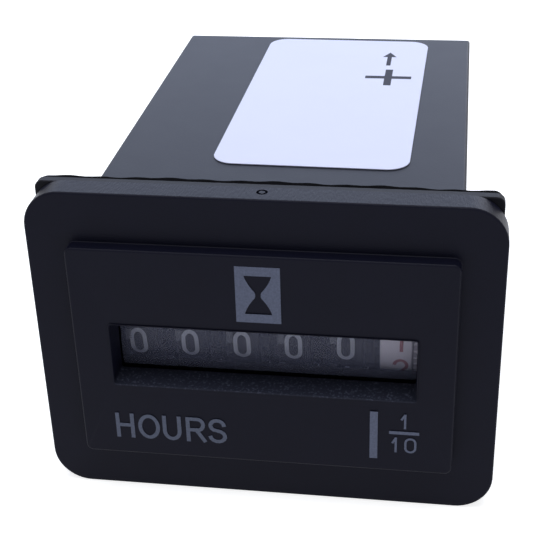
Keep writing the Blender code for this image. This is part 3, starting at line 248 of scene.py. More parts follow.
def skin(shape, rings, closed=False):
    """Faces through the rings, closed into a loop or with a cap at either end."""
    rows = [[shape.verts.new(point) for point in ring] for ring in rings]
    pairs = list(zip(rows, rows[1:]))
    if closed:
        pairs.append((rows[-1], rows[0]))
    for lower, upper in pairs:
        for here in range(len(lower)):
            after = (here + 1) % len(lower)
            shape.faces.new((lower[here], lower[after], upper[after], upper[here]))
    if not closed:
        shape.faces.new(rows[0])
        shape.faces.new(rows[-1])
    return shape


def slab(shape, x, y, z, edge=0.0):
    """A box with bevelled edges, added to the shape."""
    made = bmesh.ops.create_cube(shape, size=1)
    size = Vector((x[1] - x[0], y[1] - y[0], z[1] - z[0]))
    middle = Vector((x[0] + x[1], y[0] + y[1], z[0] + z[1])) / 2
    bmesh.ops.scale(shape, vec=size, verts=made["verts"])
    bmesh.ops.translate(shape, vec=middle, verts=made["verts"])
    if edge:
        edges = list({e for v in made["verts"] for e in v.link_edges})
        bmesh.ops.bevel(shape, geom=edges, offset=edge, segments=2, profile=0.5, affect="EDGES")
    return shape


def lathed(shape, profile, sides=WHEEL_SIDES):
    """A profile of (x, radius) turned about the X axis."""
    rings = []
    for x, radius in profile:
        ring = []
        for side in range(sides):
            angle = 2 * math.pi * side / sides
            ring.append(Vector((x, radius * math.cos(angle), radius * math.sin(angle))))
        rings.append(ring)
    return skin(shape, rings, closed=True)


def plate(shape, loop, low, high, along="Y"):
    """A flat outline with thickness, added to the shape."""
    return skin(shape, [standing(loop, along, low), standing(loop, along, high)])


def cut(mesh, tools):
    """The mesh with the tools' shapes cut from it, in millimetres."""
    for tool in tools:
        body = bpy.data.objects.new("body", mesh)
        knife_mesh = bpy.data.meshes.new("knife")
        bmesh.ops.recalc_face_normals(tool, faces=tool.faces)
        tool.to_mesh(knife_mesh)
        knife = bpy.data.objects.new("knife", knife_mesh)
        for made in (body, knife):
            bpy.context.scene.collection.objects.link(made)
        modifier = body.modifiers.new("cut", "BOOLEAN")
        modifier.operation = "DIFFERENCE"
        modifier.object = knife
        bpy.context.view_layer.update()
        graph = bpy.context.evaluated_depsgraph_get()
        mesh = bpy.data.meshes.new_from_object(body.evaluated_get(graph))
        bpy.data.objects.remove(body)
        bpy.data.objects.remove(knife)
    return mesh


def piece(name, shape, look, body="case", stands_for=(), knives=(), at=(0, 0, 0)):
    """One piece of the object from a shape in millimetres."""
    bmesh.ops.recalc_face_normals(shape, faces=shape.faces)
    mesh = bpy.data.meshes.new(name)
    shape.to_mesh(mesh)
    shape.free()
    if knives:
        mesh = cut(mesh, knives)
        mesh.name = name
    mesh.transform(Matrix.Scale(MM, 4) @ Matrix.Translation(Vector(at) + FRONT))
    mesh.materials.clear()
    mesh.materials.append(look)
    mesh.shade_smooth()
    mesh.set_sharp_from_angle(angle=SHARP)
    made = bpy.data.objects.new(name, mesh)
    bpy.context.scene.collection.objects.link(made)
    weighted = made.modifiers.new("normals", "WEIGHTED_NORMAL")
    weighted.keep_sharp = True
    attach(made, body)
    if stands_for:
        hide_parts(*stands_for)


# Materials.


def math_node(nodes, links, operation, *values):
    """A math node over values and outputs, clamped to 0..1; its output."""
    made = nodes.new("ShaderNodeMath")
    made.operation = operation
    made.use_clamp = True
    for socket, value in zip(made.inputs, values):
        if isinstance(value, (int, float)):
            socket.default_value = value
        else:
            links.new(value, socket)
    return made.outputs["Value"]


def axes(nodes, links, vector):
    """The X, Y and Z outputs of a vector output."""
    split = nodes.new("ShaderNodeSeparateXYZ")
    links.new(vector, split.inputs["Vector"])
    return split.outputs


def noise(nodes, links, place, size, detail=2):
    """Noise of one grain size at a place; its output."""
    made = nodes.new("ShaderNodeTexNoise")
    made.inputs["Scale"].default_value = 1 / (size * MM)
    made.inputs["Detail"].default_value = detail
    links.new(place, made.inputs["Vector"])
    return made.outputs["Fac"]


def ranged(nodes, links, value, low, high, start=0.0, end=1.0):
    """A value between start and end brought between low and high; its output."""
    made = nodes.new("ShaderNodeMapRange")
    for socket, limit in zip(("From Min", "From Max", "To Min", "To Max"), (start, end, low, high)):
        made.inputs[socket].default_value = limit
    links.new(value, made.inputs["Value"])
    return made.outputs["Result"]


def facing_up(nodes, links):
    """The upward part of the face's normal."""
    return axes(nodes, links, nodes.new("ShaderNodeNewGeometry").outputs["Normal"])["Z"]


def dusted(nodes, links, place, base):
    """The base colour with painted light on the faces that look up near the sill: lighter towards the front,
    where light falls under the window's top edge, with painted glints in specks.
    """
    spot = axes(nodes, links, place)
    near = math_node(nodes, links, "COMPARE", spot["Z"], *[z * MM for z in SILL_LIGHT_Z])
    lying = math_node(nodes, links, "MULTIPLY", near, facing_up(nodes, links))
    spread = ranged(nodes, links, spot["Y"], SILL_LIGHT_REAR, 1, *[y * MM for y in SILL_LIGHT_Y])
    glints = ranged(nodes, links, noise(nodes, links, place, SILL_GLINT_GRAIN, 3), SILL_LIGHT_BETWEEN_GLINTS, 1, *SILL_GLINT_NOISE)
    lit = math_node(nodes, links, "MULTIPLY", lying, spread)
    lit = math_node(nodes, links, "MULTIPLY", lit, glints)
    mix = nodes.new("ShaderNodeMix")
    mix.data_type = "RGBA"
    mix.inputs["B"].default_value = (*SILL_LIGHT_COLOUR, 1)
    links.new(lit, mix.inputs["Factor"])
    links.new(base, mix.inputs["A"])
    return mix.outputs["Result"]


def streaked(nodes, links, place, bump):
    """The place stretched, so that grain becomes short streaks from front to rear; they are deep on the faces
    that look up, apart from the raised panel's top."""
    stretch = nodes.new("ShaderNodeVectorMath")
    stretch.operation = "MULTIPLY"
    stretch.inputs[1].default_value = (1, STREAK, 1)
    links.new(place, stretch.inputs[0])
    bare = math_node(nodes, links, "COMPARE", axes(nodes, links, place)["Z"], *[z * MM for z in BARE_Z])
    upward = math_node(nodes, links, "SUBTRACT", facing_up(nodes, links), bare)
    depth = ranged(nodes, links, upward, *[depth * MM for depth in STREAK_DEPTH])
    links.new(depth, bump.inputs["Distance"])
    return stretch.outputs["Vector"]


def finish(
    name,
    colour,
    roughness,
    ior=1.5,
    metallic=0.0,
    grain=0.0,
    grain_size=0.12,
    mottle=0.0,
    mottle_size=3.0,
    of_bezel=False,
):
    """Principled material with a fine moulded grain in its bump and a faint mottling of colour and gloss; the
    bezel's has streaks too, and light painted on its sill."""
    made = bpy.data.materials.new(name)
    made.use_nodes = True
    nodes, links = made.node_tree.nodes, made.node_tree.links
    shader = nodes["Principled BSDF"]
    shader.inputs["Base Color"].default_value = (*colour, 1)
    shader.inputs["Roughness"].default_value = roughness
    shader.inputs["Metallic"].default_value = metallic
    shader.inputs["IOR"].default_value = ior
    place = nodes.new("ShaderNodeTexCoord").outputs["Object"]
    if mottle:
        cloud = noise(nodes, links, place, mottle_size, 4)
        shade = nodes.new("ShaderNodeMix")
        shade.data_type = "RGBA"
        shade.inputs["A"].default_value = (*[c * (1 - mottle) for c in colour], 1)
        shade.inputs["B"].default_value = (*[min(1, c * (1 + mottle)) for c in colour], 1)
        links.new(cloud, shade.inputs["Factor"])
        shown = shade.outputs["Result"]
        if of_bezel:
            # Painted light and glints on the window's sill, lighter towards the front.
            shown = dusted(nodes, links, place, shown)
        links.new(shown, shader.inputs["Base Color"])
        low, high = roughness * (1 - mottle / 2), min(1, roughness * (1 + mottle / 2))
        links.new(ranged(nodes, links, cloud, low, high), shader.inputs["Roughness"])
    if grain:
        bump = nodes.new("ShaderNodeBump")
        bump.inputs["Strength"].default_value = grain
        bump.inputs["Distance"].default_value = GRAIN_DEPTH * MM
        if of_bezel:
            place = streaked(nodes, links, place, bump)
        links.new(noise(nodes, links, place, grain_size), bump.inputs["Height"])
        links.new(bump.outputs["Normal"], shader.inputs["Normal"])
    return made


def clear_finish():
    """Clear plastic: mostly transparent, with the reflection of a polished face."""
    made = bpy.data.materials.new("clear_plastic")
    made.use_nodes = True
    nodes, links = made.node_tree.nodes, made.node_tree.links
    shader = nodes["Principled BSDF"]
    # The pale blue base colour, seen through the low alpha, paints a haze of reflected light over the wheels.
    shader.inputs["Base Color"].default_value = (0.29, 0.31, 0.47, 1)
    shader.inputs["IOR"].default_value = 1.45
    shader.inputs["Alpha"].default_value = 0.14
    haze = noise(nodes, links, nodes.new("ShaderNodeTexCoord").outputs["Object"], 4)
    links.new(ranged(nodes, links, haze, 0.06, 0.14), shader.inputs["Roughness"])
    return made


black = finish(
    "black_plastic",
    (0.0055, 0.0058, 0.0135),
    0.4,
    ior=1.175,
    grain=0.8,
    grain_size=0.16,
    mottle=0.12,
    of_bezel=True,
)
housing_black = finish(
    "housing_plastic", (0.0085, 0.0095, 0.0165), 0.45, ior=1.22, grain=0.4, grain_size=0.2, mottle=0.1
)
# Near-black matt with almost no reflection: it paints the shade in front of the lens, and makes the gasket's
# rear edge dark.
matt_near_black = finish("matt_near_black_plastic", (0.002, 0.002, 0.0025), 0.9, ior=1.05, grain=0.5, grain_size=0.1)
rubber = finish("rubber", (0.008, 0.008, 0.012), 0.5, ior=1.2, grain=0.8, grain_size=0.3)
film = finish("label_film", (0.75, 0.765, 0.93), 0.5, ior=1.3, mottle=0.02, mottle_size=8.0)
label_ink = finish(
    "label_ink", (0.02, 0.021, 0.035), 0.6, ior=1.25, grain=0.2, mottle=0.15, mottle_size=0.5
)
wheel_black = finish("black_wheel", (0.006, 0.006, 0.008), 0.5, ior=1.12, grain=0.3, mottle=0.1)
# The gears' black plastic, darker than the wheels' own, paints the shade that they sit in.
shaded_gear_black = finish("black_gear_painted_shade", (0.003, 0.003, 0.004), 0.8, ior=1.06, mottle=0.2)
wheel_white = finish("white_wheel", (0.76, 0.71, 0.81), 0.5, grain=0.3, mottle=0.03)
digit_white = finish("digit_white", (0.36, 0.37, 0.42), 0.6, mottle=0.1, mottle_size=0.6)
digit_red = finish("digit_red", (0.33, 0.09, 0.11), 0.6, mottle=0.1, mottle_size=0.6)
print_dim = finish("print_dim", (0.088, 0.102, 0.15), 0.55, ior=1.3, mottle=0.4, mottle_size=0.22)
print_grey = finish("print_grey", (0.105, 0.12, 0.18), 0.55, ior=1.3, mottle=0.4, mottle_size=0.22)
pad_grey = finish("pad_grey", (0.045, 0.045, 0.055), 0.6, mottle=0.1)
clear = clear_finish()
frame_black = finish("frame_plastic", (0.0085, 0.0085, 0.011), 0.55, ior=1.15, grain=0.4, mottle=0.1)
natural = finish("natural_plastic", (0.75, 0.74, 0.68), 0.45, mottle=0.03, grain=0.2)
steel = finish("steel", (0.56, 0.56, 0.58), 0.3, metallic=1.0, mottle=0.06, grain=0.1)
brass = finish("brass", (0.72, 0.56, 0.30), 0.32, metallic=1.0, mottle=0.12, mottle_size=2.0, grain=0.15)
copper = finish("copper", (0.7, 0.33, 0.18), 0.35, metallic=1.0, mottle=0.1)
ferrite = finish("ferrite", (0.08, 0.08, 0.09), 0.5, grain=0.5)
bobbin = finish("bobbin_plastic", (0.6, 0.1, 0.05), 0.4, mottle=0.05)
board = finish("board", (0.02, 0.12, 0.05), 0.35, mottle=0.15, mottle_size=1.5)
epoxy = finish("chip", (0.02, 0.02, 0.02), 0.5, grain=0.4)
sleeve = finish("capacitor_sleeve", (0.03, 0.03, 0.12), 0.3, mottle=0.05)
lacquer = finish("resistor", (0.5, 0.4, 0.25), 0.35, mottle=0.06)

NODE_FINISHES = {
    clear: ["window_lens"],
    natural: ["reduction_gear", "rotor_pinion"],
    frame_black: ["counter_frame", "side_plate"],
    shaded_gear_black: [f"pinion_{n}" for n in WHEELS],
    steel: [
        "wheel_shaft",
        "pinion_shaft",
        "stator_plate",
        "coil_core",
        "stator_screw_front",
        "stator_screw_rear",
        "board_screw_left",
        "board_screw_right",
        "quartz_crystal",
    ],
    copper: ["coil_winding", "coil_lead_left", "coil_lead_right"],
    ferrite: ["rotor_magnet"],
    bobbin: ["coil_bobbin"],
    board: ["circuit_board"],
    epoxy: ["driver_chip", "protection_diode"],
    sleeve: ["smoothing_capacitor"],
    lacquer: ["series_resistor"],
    brass: ["terminal_positive", "terminal_negative"],
}
for look, names in NODE_FINISHES.items():
    for name in names:
        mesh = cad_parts[name].data
        mesh.materials.clear()
        mesh.materials.append(look)


# Pieces.


def quarter_round(size, edge, y, outwards=False, centre=(0.0, 0.0)):
    """Rings over a rounded edge between a side wall and a face at y that looks to the front."""
    rings = []
    for step in range(EDGE_STEPS + 1):
        angle = math.pi / 2 * step / EDGE_STEPS
        across, along = edge * (1 - math.cos(angle)), edge * (1 - math.sin(angle))
        if outwards:
            rings.append(inset(size, -along, y + across, centre))
        else:
            rings.append(inset(size, across, y + along, centre))
    return rings


def window_ring(y, out):
    """Ring of the window's walls at a depth, or outside them by a distance."""
    share = (y + PANEL_RAISE) / (LENS_Y + PANEL_RAISE)
    width, height = (
        size - 2 * share * draft + 2 * out for size, draft in zip(WINDOW, WINDOW_DRAFT)
    )
    return inset((width, height, WINDOW[2]), 0, y, (0, WINDOW_RISE))


def make_bezel():
    """Bezel with its raised panel and window, hollow behind, with two tongues and a gate mark on top."""
    centre = (0, WINDOW_RISE)
    rings = [inset(BEZEL, REAR_EDGE, BEZEL_THICKNESS), inset(BEZEL, 0, BEZEL_THICKNESS - REAR_EDGE)]
    rings += quarter_round(BEZEL, BEZEL_EDGE, 0)
    rings += [inset(PANEL, -PANEL_FILLET, 0), inset(PANEL, 0, -PANEL_FILLET)]
    face = INK - PANEL_RAISE  # set back by the print's thickness
    rings += quarter_round(PANEL, PANEL_EDGE, face)
    rings += quarter_round(WINDOW, WINDOW_EDGE, face, outwards=True, centre=centre)[::-1]
    start, depth = LENS_GROOVE
    rings += [window_ring(start, 0), window_ring(start, depth), window_ring(LENS_Y, depth)]
    rings += [inset(CORE, 0, LENS_Y), inset(CORE, 0, BEZEL_THICKNESS)]
    shape = skin(bmesh.new(), rings, closed=True)
    width, length, thickness = TONGUE
    for side in (1, -1):
        z = side * TONGUE_Z
        slab(
            shape,
            (-width / 2, width / 2),
            (BEZEL_THICKNESS - EMBED, BEZEL_THICKNESS + length),
            (z - thickness / 2, z + thickness / 2),
            TONGUE_EDGE,
        )
    x, y, radius, pin, depth = GATE
    low, high = BEZEL[1] / 2 - depth, BEZEL[1] / 2 + 1
    walls = ((radius, low), (radius, high), (pin, high), (pin, low))
    gate = skin(bmesh.new(), [standing(circle(r, (x, y)), "Z", z) for r, z in walls], closed=True)
    piece("bezel_shell", shape, black, stands_for=["bezel"], knives=[gate])


def dense_ring(size, by, y, step=0.8):
    """Ring with points at most a step apart, as many for every inset."""
    loop = outline(*size)
    loop.append(loop[0])
    factors = (1 - 2 * by / size[0], 1 - 2 * by / size[1])
    return [Vector((u * factors[0], y, v * factors[1])) for u, v in dense(loop, step)[:-1]]


def make_seal():
    """Thin near-black matt strip round the window, in front of the lens, which paints the shade in the groove
    there.
    """
    low, high = PAINTED_SHADE_Y
    outer = LENS_GROOVE[1] - PAINTED_SHADE_PLAY
    rings = [window_ring(y, out) for y, out in ((low, 0), (low, outer), (high, outer), (high, 0))]
    piece("lens_painted_shade", skin(bmesh.new(), rings, closed=True), matt_near_black)


def make_gasket():
    """Rubber ring behind the bezel, with a dark wavy edge at its rear."""
    low, high = GASKET_Y
    rings = [
        inset(GASKET_HOLE, 0, low),
        inset(GASKET, GASKET_CHAMFER, low),
        inset(GASKET, 0, low + GASKET_CHAMFER),
        inset(GASKET, 0, high),
        inset(GASKET_HOLE, 0, high),
    ]
    shape = skin(bmesh.new(), rings, closed=True)
    piece("gasket_ring", shape, rubber, stands_for=["gasket"])
    depth, drop, wave = GASKET_EDGE
    near, far = high - HAIR, high + depth
    sides = ((GASKET_INSIDE, near), (HAIR, near), (drop, far), (GASKET_INSIDE, far))
    rings = [dense_ring(GASKET, by, y) for by, y in sides]
    slow, quick, upright = GASKET_WAVES
    reach, half = GASKET_BOW
    for point in rings[2]:
        bow = reach * max(0.0, 1 - (point.x / half) ** 2) if point.z > 0 else 0.0
        waves = math.sin(slow * point.x + 1) + math.sin(quick * point.x) + math.sin(upright * point.z)
        point.y += bow + wave * waves
    piece("gasket_edge", skin(bmesh.new(), rings, closed=True), matt_near_black)


def make_housing():
    """Long box behind the bezel, with slots for the terminals and moulded polarity signs on its rear."""
    low, high = HOUSING_Y
    rings = [inset(HOUSING_CAVITY, 0, HOUSING_FLOOR), inset(HOUSING_CAVITY, 0, low), inset(HOUSING, 0, low)]
    width, height, radius = HOUSING
    across, along = HOUSING_EDGE
    for step in range(EDGE_STEPS + 1):
        angle = math.pi / 2 * step / EDGE_STEPS
        turned = 1 - math.cos(angle)
        size = (width - 2 * across * turned, height - 2 * along * turned, radius)
        rings.append(inset(size, 0, high - along * (1 - math.sin(angle))))
    knives = []
    width, height = TERMINAL_SLOT
    for side in (1, -1):
        x = (side * TERMINAL_X - width / 2, side * TERMINAL_X + width / 2)
        knives.append(slab(bmesh.new(), x, (HOUSING_FLOOR - 1, high + 1), (-height / 2, height / 2)))
    piece(
        "housing_shell",
        skin(bmesh.new(), rings),
        housing_black,
        stands_for=["housing"],
        knives=knives,
    )
    signs = bmesh.new()
    away, reach, thin, rise, edge = REAR_SIGN
    y = (high - EMBED, high + rise)
    for side in (1, -1):
        x = side * (TERMINAL_X + away)
        slab(signs, (x - reach, x + reach), y, (-thin, thin), edge)
    x = -TERMINAL_X - away
    slab(signs, (x - thin, x + thin), y, (-reach, reach), edge)
    piece("polarity_signs", signs, housing_black)


def make_label():
    """Sticker on the housing's top; the polarity signs on it are drawn by make_prints."""
    low, high = LABEL_Z
    width, length, radius = LABEL
    edge = LABEL_EDGE
    loop = outline(width, length, radius, steps=LABEL_STEPS)
    inner = outline(width - 2 * edge, length - 2 * edge, radius - edge, steps=LABEL_STEPS)
    rings = [standing(loop, "Z", low), standing(loop, "Z", high - edge), standing(inner, "Z", high)]
    shape = skin(bmesh.new(), rings)
    bmesh.ops.rotate(shape, verts=shape.verts, matrix=Matrix.Rotation(LABEL_TURN, 3, "Z"))
    piece("label_sheet", shape, film, stands_for=["label"], at=(*LABEL_AT, 0))


def turned_wheel(half=WHEEL_HALF, left=WHEEL_HUB[0]):
    """Number wheel about its own axis, its hub reaching a distance to the left."""
    right, hub, bore = WHEEL_HUB
    out, collar = WHEEL_COLLAR
    inner, chamfer = WHEEL_RIM
    profile = [
        (-left, bore),
        (-left, hub),
        (-half - out, hub),
        (-half - out, collar),
        (half - WHEEL_WEB, collar),
        (half - WHEEL_WEB, inner),
        (-half, inner),
        (-half, WHEEL_RADIUS - chamfer),
        (-half + chamfer, WHEEL_RADIUS),
        (half - chamfer, WHEEL_RADIUS),
        (half, WHEEL_RADIUS - chamfer),
        (half, hub),
        (right, hub),
        (right, bore),
    ]
    return lathed(bmesh.new(), profile)


def gear_outline(teeth, tip, root, first, present=None):
    """Outline of a gear with tapering teeth, or with only the first few of them, as (y, z)."""
    foot, top = TOOTH
    points = []
    for tooth in range(teeth):
        middle = first + 2 * math.pi * tooth / teeth
        if present is not None and tooth >= present:
            points.append((root, middle))
            continue
        step = math.pi / teeth
        for radius, half in ((root, -foot), (tip, -top), (tip, top), (root, foot)):
            points.append((radius, middle + half * step))
    return [(radius * math.cos(a), radius * math.sin(a)) for radius, a in points]


def arc(centre, radii, start, end, steps=10):
    """Points along an arc of an ellipse, in degrees from the right, anticlockwise."""
    points = []
    for step in range(steps + 1):
        angle = math.radians(start + (end - start) * step / steps)
        points.append((centre[0] + radii[0] * math.cos(angle), centre[1] + radii[1] * math.sin(angle)))
    return points


def glyphs():
    """Centre lines of the signs, each in a box of 1 by 1, as (closed, points)."""
    ring = arc((0.5, 0.7), (0.5, 0.3), 0, 180) + arc((0.5, 0.3), (0.5, 0.3), 180, 360)
    return {
        "0": [(True, ring)],
        "1": [(False, [(0.70, 0.0), (0.70, 1.0)]), (False, [(0.10, 0.68), (0.62, 0.98)])],
        "2": [(False, arc((0.5, 0.72), (0.5, 0.28), 172, -35) + [(0.0, 0.0), (1.0, 0.0)])],
        "3": [
            (False, arc((0.46, 0.76), (0.46, 0.24), 160, -80)),
            (False, arc((0.48, 0.26), (0.52, 0.27), 82, -165)),
        ],
        "4": [(False, [(0.72, 0.0), (0.72, 1.0)]), (False, [(0.66, 0.98), (0.0, 0.32), (1.0, 0.32)])],
        "5": [
            (False, [(0.92, 1.0), (0.16, 1.0), (0.06, 0.54)] + arc((0.47, 0.33), (0.53, 0.33), 130, -160)),
        ],
        "6": [
            (True, arc((0.5, 0.3), (0.5, 0.3), 0, 342)),
            (False, arc((0.55, 0.6), (0.55, 0.4), 40, 180) + [(0.0, 0.3)]),
        ],
        "7": [(False, [(0.0, 1.0), (1.0, 1.0), (0.5, 0.45), (0.34, 0.0)])],
        "8": [
            (True, arc((0.5, 0.76), (0.43, 0.24), 0, 342)),
            (True, arc((0.5, 0.27), (0.5, 0.27), 0, 342)),
        ],
        "9": [
            (True, arc((0.5, 0.7), (0.5, 0.3), 0, 342)),
            (False, [(1.0, 0.7)] + arc((0.45, 0.4), (0.55, 0.4), 0, -140)),
        ],
        "H": [(False, [(0, 0), (0, 1)]), (False, [(1, 0), (1, 1)]), (False, [(0, 0.52), (1, 0.52)])],
        "O": [(True, arc((0.5, 0.5), (0.5, 0.5), 0, 354, 30))],
        "U": [(False, [(0, 1)] + arc((0.5, 0.36), (0.5, 0.36), 180, 360) + [(1, 1)])],
        "R": [
            (False, [(0, 0), (0, 1)]),
            (False, [(0.1, 1)] + arc((0.62, 0.745), (0.34, 0.255), 90, -90) + [(0.1, 0.49)]),
            (False, [(0.52, 0.49), (1, 0)]),
        ],
        "S": [(False, arc((0.5, 0.755), (0.46, 0.245), 0, 235) + arc((0.5, 0.255), (0.5, 0.255), 62, -175))],
    }


GLYPHS = glyphs()


def dense(path, step=0.3):
    """The path with points at most a step apart."""
    points = [path[0]]
    for start, end in zip(path, path[1:]):
        parts = max(1, math.ceil(math.dist(start, end) / step))
        for part in range(1, parts + 1):
            share = part / parts
            points.append(tuple(a + (b - a) * share for a, b in zip(start, end)))
    return points


def stroke(shape, path, width, closed=False, reach=(-INK, INK_ROOT)):
    """A printed line of one width along a path in (x, z), between two depths."""
    rings = []
    count = len(path)
    for here, (u, v) in enumerate(path):
        point = Vector((u, v))
        before = Vector(path[here - 1]) if closed or here else point
        after = Vector(path[(here + 1) % count]) if closed or here < count - 1 else point
        here_to = (after - point).normalized()
        to_here = (point - before).normalized()
        ahead = (here_to + to_here).normalized()
        lean = here_to.dot(ahead) if here_to.length and to_here.length else 1.0
        side = Vector((-ahead.y, ahead.x)) * width / 2 / max(lean, 0.6)
        left, right = point + side, point - side
        front, back = reach
        corners = ((left, front), (right, front), (right, back), (left, back))
        rings.append([Vector((edge.x, y, edge.y)) for edge, y in corners])
    return skin(shape, rings, closed)


def write(shape, sign, x, z, width, reach=(-INK, INK_ROOT)):
    """One sign drawn into a box, by strokes of one width."""
    low, high = (x[0] + width / 2, z[0] + width / 2), (x[1] - width / 2, z[1] - width / 2)
    for step, (closed, path) in enumerate(GLYPHS[sign]):
        placed = [tuple(a + (b - a) * share for a, b, share in zip(low, high, point)) for point in path]
        if closed:
            placed = dense([*placed, placed[0]])[:-1]
            if math.dist(placed[0], placed[-1]) < HAIR:
                placed.pop()
        else:
            placed = dense(placed)
            for end, inner in ((0, 1), (-1, -2)):
                out = (Vector(placed[end]) - Vector(placed[inner])).normalized() * width / 2
                if sign in SQUARE_SIGNS or abs(out.y) > abs(out.x):
                    share = ROUND_END if sign in ROUND_SIGNS else 1
                    placed[end] = tuple(Vector(placed[end]) + out * share)
        cleaned = [placed[0]]
        for point in placed[1:]:
            if math.dist(point, cleaned[-1]) > HAIR / 2:
                cleaned.append(point)
        # Strokes that cross differ a little in depth, so that no two faces share a plane.
        less, more = 1 - INK_STEP * step, 1 + INK_STEP * step
        stroke(shape, cleaned, width, closed, (reach[0] * less, reach[1] * more))
    return shape


def bent(shape, turn):
    """A print drawn flat in (x, z) laid round a wheel, with its middle at an angle above the wheel's front."""
    for vert in shape.verts:
        radius = WHEEL_RADIUS - vert.co.y
        angle = turn + vert.co.z / WHEEL_RADIUS
        vert.co = Vector((vert.co.x, -radius * math.cos(angle), radius * math.sin(angle)))
    return shape


def added(shape, other):
    """The shape with another one's faces."""
    copy = bpy.data.meshes.new("part")
    other.to_mesh(copy)
    other.free()
    shape.from_mesh(copy)
    return shape


def digits_round(shape, first, size=DIGIT_SIZE, width=DIGIT_STROKE):
    """The ten digits round a wheel: the digit 0 at an angle above the front, the others following downwards."""
    for digit in range(10):
        x, z = size[0] / 2, size[1] / 2
        shift, fill = ONE if digit == 1 else (0, 1)
        box = (shift - x, shift + x), (-z, fill * z)
        sign = write(bmesh.new(), str(digit), *box, width, (-INK, DIGIT_ROOT))
        added(shape, bent(sign, first - digit * math.pi / 5))
    return shape


def lands_round(shape, first):
    """Ten plain lands on a wheel's left edge, one beside each digit."""
    width, degrees, thickness = LAND
    half = math.radians(degrees) * WHEEL_RADIUS / 2
    path = dense([(LAND_X, -half), (LAND_X, half)])
    for digit in range(10):
        land = stroke(bmesh.new(), path, width, reach=(-thickness, DIGIT_ROOT))
        added(shape, bent(land, first + math.radians(LAND_RISE) - digit * math.pi / 5))
    return shape


def make_wheels():
    """Six number wheels with their gears and digits."""
    beside = WHEEL_HALF + GEAR_REACH
    for place, name in enumerate(WHEELS):
        x = (place - len(WHEELS) / 2) * WHEEL_PITCH
        at = (x, WHEEL_Y, WHEEL_Z)
        stands_for = [f"wheel_{name}"]
        piece(f"number_wheel_{name}", turned_wheel(), wheel_black, name, stands_for, at=at)
        gears = plate(bmesh.new(), gear_outline(*DISC_GEAR), WHEEL_HALF - EMBED, beside, "X")
        plate(gears, gear_outline(*CARRY_TEETH, CARRY_COUNT), -beside, -WHEEL_HALF, "X")
        piece(f"carry_gears_{name}", gears, shaded_gear_black, name, at=at)
        rise = math.radians(DIGIT_RISE[place])
        digits = digits_round(bmesh.new(), rise)
        shifted = (x + DIGIT_SHIFT[place], WHEEL_Y, WHEEL_Z)
        piece(f"digits_{name}", digits, digit_white, name, at=shifted)
        lands = lands_round(bmesh.new(), rise)
        piece(f"lands_{name}", lands, pad_grey, name, at=at)
    make_tenths_wheel(len(WHEELS) / 2 * WHEEL_PITCH)


def make_tenths_wheel(x):
    """The white wheel at the right, with its toothed ring, carry teeth and red digits."""
    half = TENTHS_HALF
    at = (x + TENTHS_SHIFT[0], WHEEL_Y, WHEEL_Z)
    drum = turned_wheel(half, TENTHS_HUB)
    piece("number_wheel_tenths", drum, wheel_white, "tenths", ["wheel_tenths"], at=at)
    start, end = TENTHS_DRIVE
    gears = plate(bmesh.new(), gear_outline(*DRIVE_GEAR), half + start, half + end, "X")
    plate(gears, outline(*TENTHS_DISC, steps=10), half - EMBED, half + TENTHS_DISC_END, "X")
    piece("drive_gear_tenths", gears, wheel_white, "tenths", at=at)
    teeth = plate(bmesh.new(), gear_outline(*CARRY_TEETH, CARRY_COUNT), -half - TENTHS_CARRY, -half, "X")
    piece("carry_gear_tenths", teeth, shaded_gear_black, "tenths", at=at)
    digits = digits_round(bmesh.new(), math.radians(TENTHS_RISE), TENTHS_DIGIT, TENTHS_STROKE)
    at = (x + TENTHS_SHIFT[1], WHEEL_Y, WHEEL_Z)
    piece("digits_tenths", digits, digit_red, "tenths", at=at)


def panel_print(name, shape, ink=print_grey):
    """Print on the raised panel."""
    piece(name, shape, ink, at=(0, INK - PANEL_RAISE, 0))


def bar(shape, x, z):
    """Printed rectangle."""
    loop = [(x[0], z[0]), (x[1], z[0]), (x[1], z[1]), (x[0], z[1])]
    return plate(shape, loop, -INK, INK_ROOT)


def hourglass_sign():
    """Rectangle of print that leaves an hourglass bare, as two halves that meet above and below the glass."""
    shape = bmesh.new()
    (left, right), (low, high) = GLASS
    middle, full, neck = (left + right) / 2, (right - left) / 2, GLASS_NECK / 2
    profile = []
    for row in range(GLASS_ROWS + 1):
        share = row / GLASS_ROWS
        out = max(0.0, abs(2 * share - 1) - GLASS_WAIST) / (1 - GLASS_WAIST)
        half = neck + (full - neck) * out * (1 + GLASS_BELLY - GLASS_BELLY * out)
        profile.append((half, low + (high - low) * share))
    bottom, top = SIGN[1]
    for side, edge in zip((-1, 1), SIGN[0]):
        loop = [(edge, bottom), (middle, bottom), (middle, low)]
        loop += [(middle + side * half, level) for half, level in profile]
        loop += [(middle, high), (middle, top), (edge, top)]
        plate(shape, loop, -INK, INK_ROOT)
    return shape


